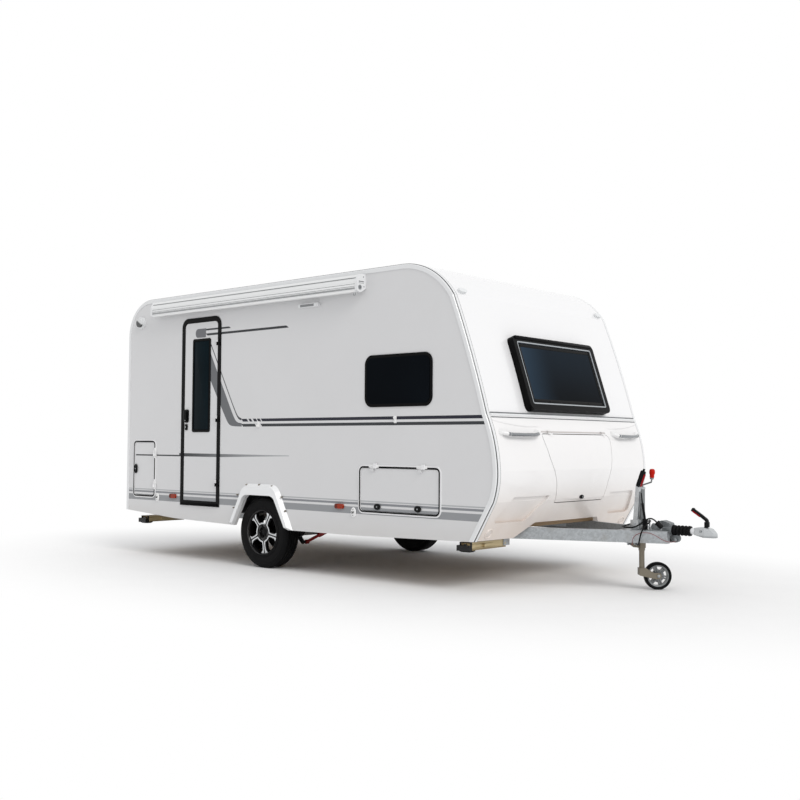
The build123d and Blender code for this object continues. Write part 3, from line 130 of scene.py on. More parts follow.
class Val:
    """One number in a node tree that can stand in a Python sum."""

    def __init__(self, tree: "Shade", socket: Socket) -> None:
        """Keep the tree and the socket that gives the number."""
        self.tree = tree
        self.socket = socket

    def _do(self, kind: str, *values: "Val | float") -> "Val":
        """Add one Math node for the values."""
        return self.tree.maths(kind, *values)

    def __add__(self, other: "Val | float") -> "Val":
        """Sum of two values."""
        return self._do("ADD", self, other)

    __radd__ = __add__

    def __sub__(self, other: "Val | float") -> "Val":
        """Difference of two values."""
        return self._do("SUBTRACT", self, other)

    def __rsub__(self, other: float) -> "Val":
        """Difference from a number."""
        return self._do("SUBTRACT", other, self)

    def __mul__(self, other: "Val | float") -> "Val":
        """Product of two values."""
        return self._do("MULTIPLY", self, other)

    __rmul__ = __mul__

    def above(self, edge: "Val | float") -> "Val":
        """One where this is more than the edge."""
        return self._do("GREATER_THAN", self, edge)

    def below(self, edge: "Val | float") -> "Val":
        """One where this is less than the edge."""
        return self._do("LESS_THAN", self, edge)

    def band(self, low: "Val | float", high: "Val | float") -> "Val":
        """One between two edges."""
        return self.above(low) * self.below(high)

    def size(self) -> "Val":
        """The value without its sign."""
        return self._do("ABSOLUTE", self)

    def root(self) -> "Val":
        """Square root."""
        return self._do("SQRT", self)

    def wave(self) -> "Val":
        """Sine."""
        return self._do("SINE", self)

    def most(self, other: "Val | float") -> "Val":
        """The larger of two."""
        return self._do("MAXIMUM", self, other)

    def least(self, other: "Val | float") -> "Val":
        """The smaller of two."""
        return self._do("MINIMUM", self, other)

    def fade(self, low: float, high: float) -> "Val":
        """Zero at low, one at high, smooth between and held outside."""
        return self.tree.spread(self, low, high)


class Shade:
    """A material or a world under construction."""

    def __init__(self, name: str, world: bpy.types.World | None = None) -> None:
        """Start with an empty tree.

        Args:
            name: the material's name.
            world: the world to shade, or nothing for a new material.
        """
        self.material = world or bpy.data.materials.new(name)
        self.material.use_nodes = True
        self.tree = self.material.node_tree
        self.tree.nodes.clear()
        self._axes: dict[str, Val] = {}

    def node(
        self,
        kind: str,
        settings: dict[str, object] | None = None,
        inputs: dict[str | int, object] | None = None,
    ) -> bpy.types.Node:
        """Add a node, set it, then feed its sockets.

        Args:
            kind: the node's type.
            settings: attributes, and "stops" for a ramp's (place, colour) pairs.
            inputs: values or links by socket name or place.

        Returns:
            The node.
        """
        made = self.tree.nodes.new(kind)
        for key, value in (settings or {}).items():
            if key == "stops":
                ramp = made.color_ramp
                while len(ramp.elements) < len(value):
                    ramp.elements.new(0.5)
                for stop, (place, colour) in zip(ramp.elements, value):
                    stop.position = place
                    stop.color = colour
            else:
                setattr(made, key, value)
        for key, value in (inputs or {}).items():
            self.feed(made.inputs[key], value)
        return made

    def feed(self, socket: Socket, value: object) -> None:
        """Set a socket, or link it when the value is a socket or a Val.

        Args:
            socket: the socket to feed.
            value: a number, a colour, a socket or a Val.
        """
        if isinstance(value, Val):
            value = value.socket
        if isinstance(value, Socket):
            self.tree.links.new(value, socket)
        else:
            socket.default_value = value

    def maths(self, kind: str, *values: Val | float) -> Val:
        """Add a Math node.

        Args:
            kind: the operation.
            values: one to three numbers or Vals.

        Returns:
            The result.
        """
        fed = {i: v for i, v in enumerate(values)}
        made = self.node("ShaderNodeMath", {"operation": kind}, fed)
        return Val(self, made.outputs[0])

    def spread(self, value: Val, low: float, high: float) -> Val:
        """Map a value from low..high to 0..1 with smooth ends.

        Args:
            value: what is mapped.
            low: where the result is 0.
            high: where the result is 1.

        Returns:
            The mapped value.
        """
        made = self.node(
            "ShaderNodeMapRange",
            {"interpolation_type": "SMOOTHSTEP"},
            {"Value": value, "From Min": low, "From Max": high},
        )
        return Val(self, made.outputs[0])

    def place(self) -> Socket:
        """Object coordinates."""
        if "place" not in self._axes:
            made = self.node("ShaderNodeTexCoord")
            self._axes["place"] = Val(self, made.outputs["Object"])
        return self._axes["place"].socket

    def axis(self, which: str) -> Val:
        """One object coordinate, x from the axle, y or z.

        Args:
            which: "x", "y" or "z".

        Returns:
            The coordinate in metres.
        """
        if which not in self._axes:
            made = self.node("ShaderNodeSeparateXYZ", None, {0: self.place()})
            for i, name in enumerate("xyz"):
                self._axes[name] = Val(self, made.outputs[i])
            self._axes["x"] = self._axes["x"] - AXLE_X
        return self._axes[which]

    def stretched(self, stretch: Point) -> Socket:
        """Object coordinates scaled by three numbers."""
        made = self.node(
            "ShaderNodeMapping", None, {"Vector": self.place(), "Scale": stretch}
        )
        return made.outputs[0]

    def noise(
        self, scale: float, detail: float = 3.0, stretch: Point = (1.0, 1.0, 1.0)
    ) -> Val:
        """Soft noise from 0 to 1.

        Args:
            scale: features per metre.
            detail: how many finer layers.
            stretch: scale of each axis.

        Returns:
            The noise.
        """
        made = self.node(
            "ShaderNodeTexNoise",
            {"noise_dimensions": "3D"},
            {"Vector": self.stretched(stretch), "Scale": scale, "Detail": detail},
        )
        return Val(self, made.outputs[0])

    def cells(self, scale: float, stretch: Point = (1.0, 1.0, 1.0)) -> Val:
        """Random tone of each crystal, 0 to 1.

        Args:
            scale: crystals per metre.
            stretch: scale of each axis.

        Returns:
            The tone.
        """
        made = self.node(
            "ShaderNodeTexVoronoi",
            {"feature": "F1"},
            {"Vector": self.stretched(stretch), "Scale": scale},
        )
        grey = self.node("ShaderNodeSeparateColor", None, {0: made.outputs["Color"]})
        return Val(self, grey.outputs[0])

    def shown(self) -> Val:
        """One on the rays that show the backdrop: to the camera, mirrored or through glass."""
        path = self.node("ShaderNodeLightPath")
        camera, glossy, through = (
            Val(
                self, path.outputs[f"Is {kind} Ray"]
            ) for kind in ("Camera", "Glossy", "Transmission")
        )
        return camera.most(glossy).most(through)

    def mix(self, share: Val | float, first: object, second: object) -> Socket:
        """Blend two colours.

        Args:
            share: 0 for the first, 1 for the second.
            first: a colour or a colour socket.
            second: a colour or a colour socket.

        Returns:
            The blended colour's socket.
        """
        made = self.node(
            "ShaderNodeMix",
            {"data_type": "RGBA", "clamp_factor": True},
            {0: share, 6: first, 7: second},
        )
        return made.outputs[2]

    def relief(self, height: Val, depth: float, strength: float = 1.0) -> Socket:
        """Turn a height into a normal.

        Args:
            height: the relief.
            depth: how far 1 stands out, in metres.
            strength: share of the effect.

        Returns:
            The normal's socket.
        """
        made = self.node(
            "ShaderNodeBump",
            None,
            {"Strength": strength, "Distance": depth, "Height": height},
        )
        return made.outputs[0]

    def principled(self, inputs: dict[str | int, object]) -> bpy.types.Node:
        """Add the surface shader and the output.

        Args:
            inputs: what feeds the shader.

        Returns:
            The shader node.
        """
        body = self.node("ShaderNodeBsdfPrincipled", None, inputs)
        self.node("ShaderNodeOutputMaterial", None, {0: body.outputs[0]})
        return body


def tint(colour: Tone, factor: float) -> Tone:
    """Scale a colour and keep it between 0 and 1."""
    return tuple(min(1.0, c * factor) for c in colour[:3]) + (1.0,)


@dataclass(frozen=True)
class Finish:
    """A plain finish whose tone, gloss and relief wander a little."""

    name: str
    colour: str
    wander: float = 0.05
    patch: float = 3.0
    rough: float = 0.4
    rough_wander: float = 0.08
    metallic: float = 0.0
    coat: float = 0.0
    grain: float = 300.0
    depth: float = 0.0002
    stretch: Point = (1.0, 1.0, 1.0)
    grime: float = 0.0
    specular: float = 0.5

    def paint(self, shade: Shade, colour: Socket) -> Socket:
        """Change the colour over parts of the surface; a plain finish keeps it."""
        return colour

    def relief_of(self, shade: Shade, grain: Val) -> Val:
        """Height that feeds the relief; a plain finish has only its grain."""
        return grain

    def make(self) -> bpy.types.Material:
        """Build the material.

        Returns:
            The material.
        """
        shade = Shade(self.name)
        base = ink(self.colour)
        patches = shade.noise(self.patch, 4.0)
        grain = shade.noise(self.grain, 3.0, self.stretch)
        colour = shade.mix(
            patches * 0.6 + grain * 0.4,
            tint(base, 1 - self.wander),
            tint(base, 1 + self.wander),
        )
        if self.grime:
            low = 1 - shade.axis("z").fade(0.0, 1.1)
            dirt = (low * patches * self.grime).least(1.0)
            colour = shade.mix(dirt, colour, ink("8d8477"))
        colour = self.paint(shade, colour)
        rough = grain * self.rough_wander + patches * self.rough_wander
        rough = rough + (self.rough - self.rough_wander)
        shade.principled(
            {
                "Base Color": colour,
                "Roughness": rough,
                "Metallic": self.metallic,
                "Coat Weight": self.coat,
                "Coat Roughness": 0.08,
                "Specular IOR Level": self.specular,
                "Normal": shade.relief(self.relief_of(shade, grain), self.depth),
            }
        )
        return shade.material


@dataclass(frozen=True)
class EdgeTrimFinish(Finish):
    """White corner moulding with the grey filler strip in its bevel."""

    def paint(self, shade: Shade, colour: Socket) -> Socket:
        """Draw the filler strip along the bevel.

        Args:
            shade: the material under construction.
            colour: the finish's own colour.

        Returns:
            The painted colour.
        """
        y = shade.axis("y").size()
        colour = shade.mix(y.band(1.1405, 1.1474), colour, ink("3f4245"))
        return shade.mix(y.band(1.1075, 1.1130), colour, ink("6d7073"))


@dataclass(frozen=True)
class OpeningFinish(Finish):
    """Hatch rings in white and the entrance door's frame in black."""

    def paint(self, shade: Shade, colour: Socket) -> Socket:
        """Blacken the entrance frame.

        Args:
            shade: the material under construction.
            colour: the finish's own colour.

        Returns:
            The painted colour.
        """
        entry = shade.axis("x").band(-1.22, -0.585)
        return shade.mix(entry, colour, ink("060607"))


@dataclass(frozen=True)
class NoseFinish(Finish):
    """Bowed front moulding with a soft crease over the handles, and painted shade at its foot and
    along the step over the gas door.
    """

    def crease(self, shade: Shade) -> Val:
        """Height of the step that runs outwards over each handle.

        Args:
            shade: the material under construction.

        Returns:
            The height, 0 to 1.
        """
        y, z = shade.axis("y").size(), shade.axis("z")
        line = 1.292 + (y - 0.62).most(0.0) * (y - 0.62).most(0.0) * 0.19
        near = (z - line).fade(-0.010, 0.003)
        reach = y.fade(0.43, 0.60)
        fade = 1 - (z - line).fade(0.012, 0.075)
        return near * reach * fade

    def paint(self, shade: Shade, colour: Socket) -> Socket:
        """Paint warm, streaked shade over the foot of the moulding and a line of painted shade
        along the step over the gas door.

        Args:
            shade: the material under construction.
            colour: the finish's own colour.

        Returns:
            The painted colour.
        """
        # Painted shade: the moulding turns warmer and darker towards its foot, broken by streaks.
        low = 1 - shade.axis("z").fade(0.42, 0.92)
        streak = shade.noise(9.0, 4.0, (1.0, 1.0, 0.2))
        colour = shade.mix(low * (streak * 0.35 + 0.6), colour, ink("d9cbc0"))
        # Painted shade: a soft grey line along the step just over the gas door.
        y, z = shade.axis("y"), shade.axis("z")
        step = z.fade(1.243, 1.247) * (1 - z.fade(1.250, 1.264)) * y.band(-0.525, 0.470)
        return shade.mix(step * 0.7, colour, ink("958b87"))

    def relief_of(self, shade: Shade, grain: Val) -> Val:
        """Add the crease to the grain."""
        return grain * 0.02 + self.crease(shade)


@dataclass(frozen=True)
class WallLampFinish(Finish):
    """White wall lamps with their smoked lenses, and painted shade and highlight on the round dome.
    """

    def paint(self, shade: Shade, colour: Socket) -> Socket:
        """Smoke the bar's lens, and give the round dome a faint smoke, painted shade over its lower
        half and its pale top as a painted highlight.

        Args:
            shade: the material under construction.
            colour: the finish's own colour.

        Returns:
            The painted colour.
        """
        x, y, z = shade.axis("x"), shade.axis("y"), shade.axis("z")
        bar = x.band(0.530, 0.705) * z.band(2.358, 2.380) * y.below(-1.16)
        # Painted shade and highlight: the round dome darkens from a pale top to near black at its
        # lower rear side.
        dome = x.below(-1.5) * y.below(-1.174)
        low = 1 - (z + (x + 1.9) * 0.6).fade(2.385, 2.408)
        colour = shade.mix(bar * 0.8, colour, ink("55585a"))
        return shade.mix(dome * (low * 0.85 + 0.1), colour, ink("1d1e20"))


@dataclass(frozen=True)
class SteadyFinish(Finish):
    """Yellow passivated steady with its dark screw end, and painted shade in its folds and along
    its lower edge.
    """

    def paint(self, shade: Shade, colour: Socket) -> Socket:
        """Darken the end, and paint shade into the folds as dark streaks and along the lower edge.

        Args:
            shade: the material under construction.
            colour: the finish's own colour.

        Returns:
            The painted colour.
        """
        y, z = shade.axis("y").size(), shade.axis("z")
        # Painted shade: dark streaks that stand in for the shade in the folds.
        streak = shade.noise(30.0, 3.0, (0.1, 0.1, 3.0))
        colour = shade.mix(streak.fade(0.52, 0.62) * 0.5, colour, ink("6d5a38"))
        # Painted shade: the lower edge darker.
        colour = shade.mix(z.below(0.3365) * 0.6, colour, ink("5b4c33"))
        return shade.mix(y.above(1.094), colour, ink("141415"))


@dataclass(frozen=True)
class TubeFinish(Finish):
    """Jockey tube, brown with road film below the drawbar and bright above it."""

    def paint(self, shade: Shade, colour: Socket) -> Socket:
        """Brighten the sheltered top."""
        return shade.mix(shade.axis("z").fade(0.40, 0.50), colour, ink("7f8283"))


@dataclass(frozen=True)
class HeadFinish(Finish):
    """Zinc coupling head on its chromed shaft."""

    def paint(self, shade: Shade, colour: Socket) -> Socket:
        """Brighten the shaft and darken the head's underside.

        Args:
            shade: the material under construction.
            colour: the finish's own colour.

        Returns:
            The painted colour.
        """
        x = shade.axis("x")
        colour = shade.mix(x.below(3.7405), colour, ink("e4e6e8"))
        # The head is darker towards its underside.
        under = 1 - shade.axis("z").fade(0.446, 0.47)
        return shade.mix(under * 0.5, colour, ink("5d6062"))


@dataclass(frozen=True)
class SkinFinish:
    """Painted sheet of the sides, with the stripes as masks."""

    name: str
    colour: str = "dadadb"
    navy: str = "0b0c22"
    dark: str = "2c2f33"
    wedge: str = "66686b"
    thin: str = "3d3f43"
    wide: str = "939598"
    middle: str = "87898d"
    light: str = "b1b3b5"

    def sweep(self, shade: Shade, x: Val, rest: float, slope: float, knee: float) -> Val:
        """Height of an edge that runs level, then climbs to the rear.

        Args:
            shade: the material under construction; not used.
            x: distance from the axle.
            rest: height of the level run.
            slope: climb of the sloping run.
            knee: where the slope starts.

        Returns:
            The height of the edge.
        """
        ahead = knee - x
        bend = 0.035
        return rest + slope * 0.5 * (ahead + (ahead * ahead + bend * bend).root())

    def make(self) -> bpy.types.Material:
        """Build the material.

        Returns:
            The material.
        """
        shade = Shade(self.name)
        x, y, z = shade.axis("x"), shade.axis("y"), shade.axis("z")
        face = y.size().above(SKIN_Y - 0.004)
        entry_side = y.below(0.0)
        far_side = y.above(0.0)
        lean = x + (z - 1.36) * 0.9
        patches = shade.noise(1.6, 3.0)
        base = ink(self.colour)
        colour = shade.mix(patches, tint(base, 0.975), tint(base, 1.02))
        wash = shade.axis("z").fade(0.35, 0.62)
        colour = shade.mix((1 - wash) * patches * 0.35, colour, ink("b9b3a8"))

        upper = self.sweep(shade, x, 1.360, 1.78, -0.335)
        tail = z.band(upper - 0.011, upper + 0.011) * x.band(-0.76, -0.285) * entry_side
        colour = shade.mix(tail * face, colour, ink(self.thin))
        blocks = lean.band(-0.274, -0.197).most(lean.band(-0.175, -0.138))
        blocks = blocks.most(lean.band(-0.113, -0.068)).most(lean.band(-0.055, -0.014))
        blocks = blocks.most(lean.above(0.0)).most(far_side) * z.band(1.347, 1.3735)
        colour = shade.mix(blocks * face, colour, ink(self.navy))

        top = self.sweep(shade, x, 1.327, 1.78, -0.3675)
        foot = self.sweep(shade, x, 1.299, 1.6, -0.47)
        wedge = z.above(foot) * z.below(top) * x.band(-0.76, -0.28) * entry_side
        colour = shade.mix(wedge * face, colour, ink(self.wedge))
        lower = lean.band(-0.315, -0.125).most(lean.above(-0.045)).most(far_side)
        lower = lower * z.band(1.300, 1.326)
        colour = shade.mix(lower * face, colour, ink(self.dark))

        slant = x + (z - 2.22) * 1.6
        lines = z.band(2.243, 2.260) * slant.band(-0.85, -0.42)
        lines = lines.most(z.band(2.192, 2.214) * slant.band(-0.85, 0.315))
        colour = shade.mix(lines * face * entry_side, colour, ink("26282c"))
        corner = (-0.955 - x).most(0.0) * (-0.955 - x).most(0.0)
        across = (z - 2.222).size() - 0.004
        corner = (corner + across.most(0.0) * across.most(0.0)).root().below(0.040)
        box = corner * x.band(-1.0, -0.832) * z.band(2.178, 2.266)
        colour = shade.mix(box * face * entry_side, colour, ink("6b6c70"))

        low = 1.010 + (x + 0.6).most(0.0) * 0.021
        high = 1.043 - (x + 1.2).most(0.0) * 0.004 - x.below(-1.235) * 0.019
        taper = z.above(low) * z.below(high) * x.band(-1.97, 0.38)
        fading = x.fade(-1.3, 0.3)
        ribbon = shade.mix(fading, ink("2a2c2f"), ink("a5a7a9"))
        colour = shade.mix(taper * face * entry_side, colour, ribbon)

        rail = x.above(-2.09)
        colour = shade.mix(z.band(0.661, 0.672) * rail * face, colour, ink(self.light))
        colour = shade.mix(z.band(0.634, 0.653) * rail * face, colour, ink(self.middle))
        colour = shade.mix(z.band(0.556, 0.615) * rail * face, colour, ink(self.wide))

        peel = shade.noise(420.0, 2.0)
        shade.principled(
            {
                "Base Color": colour,
                "Roughness": patches * 0.08 + 0.26,
                "Metallic": 0.0,
                "Coat Weight": 0.12,
                "Coat Roughness": 0.12,
                "Specular IOR Level": 0.3,
                "Normal": shade.relief(peel + patches * 3.0, 0.00012),
            }
        )
        return shade.material


@dataclass(frozen=True)
class ZincFinish:
    """Hot dip galvanised steel, with its spangle and dull patches."""

    name: str
    colour: str = "a9adb0"
    spangle: float = 70.0

    def make(self) -> bpy.types.Material:
        """Build the material.

        Returns:
            The material.
        """
        shade = Shade(self.name)
        crystals = shade.cells(self.spangle)
        patches = shade.noise(7.0, 5.0)
        fine = shade.noise(260.0, 3.0)
        base = ink(self.colour)
        colour = shade.mix(crystals, tint(base, 0.84), tint(base, 1.12))
        stain = patches.fade(0.55, 0.8)
        colour = shade.mix(stain * 0.5, colour, ink("8e8a80"))
        shade.principled(
            {
                "Base Color": colour,
                "Roughness": crystals * 0.18 + patches * 0.2 + 0.22,
                "Metallic": 0.75 - stain * 0.3,
                "Normal": shade.relief(fine + crystals * 0.3, 0.0002),
            }
        )
        return shade.material


@dataclass(frozen=True)
class GlassFinish:
    """Tinted acrylic of the windows, dark, its tone drifting at random towards a darker rim tone,
    with a painted reflection on the front pane.
    """

    name: str
    colour: str = "0d1218"
    rim: str = "040608"
    # tone of the painted reflection on the front pane
    ahead: str = "2b3b4a"
    sheen: float = 0.0
    specular: float = 0.02

    def make(self) -> bpy.types.Material:
        """Build the material.

        Returns:
            The material.
        """
        shade = Shade(self.name)
        drift = shade.noise(1.4, 2.0)
        ripple = shade.noise(14.0, 2.0)
        colour = shade.mix(drift, ink(self.rim), ink(self.colour))
        x, y, z = shade.axis("x"), shade.axis("y"), shade.axis("z")
        # Painted reflection: the front pane is lighter and bluer towards its right-hand end and its
        # top.
        painted_reflection = (1 - y.fade(-0.62, -0.10)) * 0.75 + z.fade(1.45, 2.0) * 0.25
        colour = shade.mix(x.above(2.25) * painted_reflection, colour, ink(self.ahead))
        shade.principled(
            {
                "Base Color": colour,
                "Specular IOR Level": self.specular,
                "Roughness": ripple * 0.04 + 0.06,
                "Metallic": 0.0,
                "Coat Weight": self.sheen,
                "Coat Roughness": 0.03,
                "Normal": shade.relief(ripple, 0.0008, 0.4),
            }
        )
        return shade.material


@dataclass(frozen=True)
class LensFinish:
    """Moulded lamp lens with fine prisms behind a smooth skin."""

    name: str
    colour: str
    dark: str
    ribs: float = 900.0
    along: str = "x"
    clear: str = ""

    def make(self) -> bpy.types.Material:
        """Build the material.

        Returns:
            The material.
        """
        shade = Shade(self.name)
        prism = (shade.axis(self.along) * self.ribs).wave() * 0.5 + 0.5
        glow = shade.noise(30.0, 2.0)
        colour = shade.mix(prism * 0.6 + glow * 0.4, ink(self.dark), ink(self.colour))
        if self.clear:
            x = shade.axis("x")
            ends = x.band(-1.38, -1.336).most(x.band(0.97, 1.013))
            colour = shade.mix(ends * 0.75, colour, ink(self.dark))
            colour = shade.mix(x.above(2.0), colour, ink(self.clear))
        shade.principled(
            {
                "Base Color": colour,
                "Specular IOR Level": 0.12,
                "Roughness": glow * 0.08 + 0.12,
                "Metallic": 0.0,
                "Coat Weight": 0.25,
                "Coat Roughness": 0.04,
                "Normal": shade.relief(prism, 0.0004),
            }
        )
        return shade.material


class Finishes:
    """All finishes of the caravan, each made once when first asked for."""

    def __init__(self) -> None:
        """List the finishes by name."""
        listed = [
            SkinFinish("side_sheet"),
            Finish("nose_gloss", "eeeeef", 0.015, 2.0, 0.22, 0.05, 0.0, 0.5, 380.0, 0.00008),
            NoseFinish("sill_gloss", "eeeded", 0.015, 2.5, 0.26, 0.05, 0.0, 0.4, 380.0, 0.006),
            Finish("roof_sheet", "dcdddd", 0.03, 2.0, 0.4, 0.08, 0.0, 0.1, 260.0, 0.0002),
            Finish("trim_white", "e6e7e8", 0.02, 4.0, 0.3, 0.05, 0.0, 0.3, 320.0, 0.0001),
            EdgeTrimFinish("edge_trim", "e6e7e8", 0.02, 4.0, 0.3, 0.05, 0.0, 0.3, 320.0, 0.0001),
            OpeningFinish(
                "opening_white", "ebebec", 0.02, 4.0, 0.4, 0.05, 0.0, 0.0, 320.0, 0.0001,
                specular=0.08
            ),
            Finish(
                "awning_white", "e9eaea", 0.02, 3.0, 0.34, 0.06, 0.1, 0.2, 300.0, 0.0001,
                (0.05, 1, 1)
            ),
            Finish("arch_white", "eff0f1", 0.02, 5.0, 0.3, 0.06, 0.0, 0.3, 420.0, 0.00015),
            Finish(
                "ply_floor", "8b7355", 0.18, 5.0, 0.7, 0.1, 0.0, 0.0, 90.0, 0.0006, (0.15, 1, 1)
            ),
            Finish("box_grey", "3a3c3e", 0.1, 5.0, 0.6, 0.08, 0.0, 0.0, 220.0, 0.0004),
            Finish(
                "frame_black", "060607", 0.1, 5.0, 0.34, 0.06, 0.0, 0.0, 380.0, 0.0001,
                specular=0.07
            ),
            Finish(
                "seal_black", "040405", 0.1, 5.0, 0.6, 0.08, 0.0, 0.0, 300.0, 0.0002, specular=0.05
            ),
            GlassFinish("window_tint"),
            GlassFinish("door_tint", "16272e", "070c10"),
            # pale silver of the front window's bead, partly a painted highlight along the pane
            Finish("silver_bead_highlight", "a9aeb2", 0.05, 8.0, 0.3, 0.05, 0.35, 0.0, 500.0, 0.00005),
            Finish("line_grey", "6a6d70", 0.05, 8.0, 0.4, 0.05, 0.0, 0.0, 500.0, 0.00005),
            Finish("cup_beige", "d8cfc9", 0.05, 20.0, 0.35, 0.05, 0.0, 0.2, 500.0, 0.00005),
            Finish("jockey_grey", "77797a", 0.12, 20.0, 0.42, 0.08, 0.5, 0.0, 500.0, 0.0002),
            Finish("dome_smoke", "c9cccd", 0.04, 4.0, 0.22, 0.06, 0.0, 0.4, 200.0, 0.0002),
            LensFinish("lamp_amber", "c03808", "4f1304", clear="e3e5e6"),
            LensFinish("lamp_red", "a3100f", "4b0505", 700.0, "z"),
            WallLampFinish("lamp_wall", "e6e7e8", 0.02, 8.0, 0.3, 0.05, 0.0, 0.1, 400.0, 0.0001),
            SteadyFinish("steady_zinc", "c4b38c", 0.14, 14.0, 0.36, 0.12, 0.45, 0.0, 200.0, 0.0002),
            TubeFinish("jockey_zinc", "7d7669", 0.14, 9.0, 0.42, 0.12, 0.7, 0.0, 240.0, 0.0003),
            LensFinish("lamp_clear", "e8e9ea", "b9bcbf", 500.0, "y"),
            Finish("handle_white", "ececec", 0.02, 6.0, 0.3, 0.05, 0.0, 0.3, 400.0, 0.0001),
            Finish(
                "handle_silver", "8b8e91", 0.06, 8.0, 0.24, 0.06, 0.85, 0.2, 500.0, 0.0001,
                (1, 0.1, 1)
            ),
            Finish(
                "plastic_black", "101112", 0.12, 8.0, 0.45, 0.08, 0.0, 0.0, 700.0, 0.0002,
                specular=0.1
            ),
            ZincFinish("galvanised"),
            ZincFinish("zinc_plate", "b9bcbe", 30.0),
            HeadFinish("head_zinc", "c0c3c5", 0.1, 14.0, 0.3, 0.12, 0.85, 0.0, 300.0, 0.0003),
            Finish("cast_grey", "7f8385", 0.1, 12.0, 0.5, 0.1, 0.6, 0.0, 400.0, 0.0006),
            Finish("dull_zinc", "7d7669", 0.14, 9.0, 0.42, 0.12, 0.7, 0.0, 240.0, 0.0003),
            Finish(
                "rubber_black", "0d0d0e", 0.15, 9.0, 0.6, 0.1, 0.0, 0.0, 500.0, 0.0003, specular=0.1
            ),
            Finish(
                "tyre_black", "0e0e0f", 0.14, 9.0, 0.66, 0.1, 0.0, 0.0, 420.0, 0.0004, specular=0.1
            ),
            Finish(
                "alloy_black", "0c0c0d", 0.1, 9.0, 0.25, 0.06, 0.2, 0.5, 300.0, 0.0001, specular=0.1
            ),
            Finish(
                "alloy_bright", "c9cbcd", 0.05, 9.0, 0.18, 0.06, 0.95, 0.3, 700.0, 0.0001,
                (1, 0.2, 1)
            ),
            Finish(
                "brake_black", "141415", 0.15, 9.0, 0.6, 0.1, 0.3, 0.0, 220.0, 0.0006, specular=0.1
            ),
            Finish("axle_steel", "26272a", 0.15, 9.0, 0.5, 0.1, 0.4, 0.0, 220.0, 0.0004),
            Finish("damper_red", "8e1c1c", 0.1, 9.0, 0.35, 0.08, 0.0, 0.3, 300.0, 0.0002),
            Finish(
                "cord_black", "0f0f10", 0.1, 20.0, 0.5, 0.08, 0.0, 0.0, 900.0, 0.0001, specular=0.1
            ),
            Finish("cord_red", "7c2327", 0.1, 20.0, 0.45, 0.08, 0.0, 0.0, 900.0, 0.0001),
            Finish(
                "knob_red", "b81c0c", 0.06, 20.0, 0.45, 0.06, 0.0, 0.0, 500.0, 0.0001, specular=0.1
            ),
            Finish(
                "grip_red", "8e0f16", 0.08, 20.0, 0.5, 0.06, 0.0, 0.0, 700.0, 0.0002, specular=0.1
            ),
            Finish("bolt_zinc", "9fa2a4", 0.08, 20.0, 0.35, 0.08, 0.9, 0.0, 400.0, 0.0001),
        ]
        self.listed = {one.name: one for one in listed}
        self.made: dict[str, bpy.types.Material] = {}

    def get(self, name: str) -> bpy.types.Material:
        """Give a finish's material, made on first use."""
        if name not in self.made:
            self.made[name] = self.listed[name].make()
        return self.made[name]


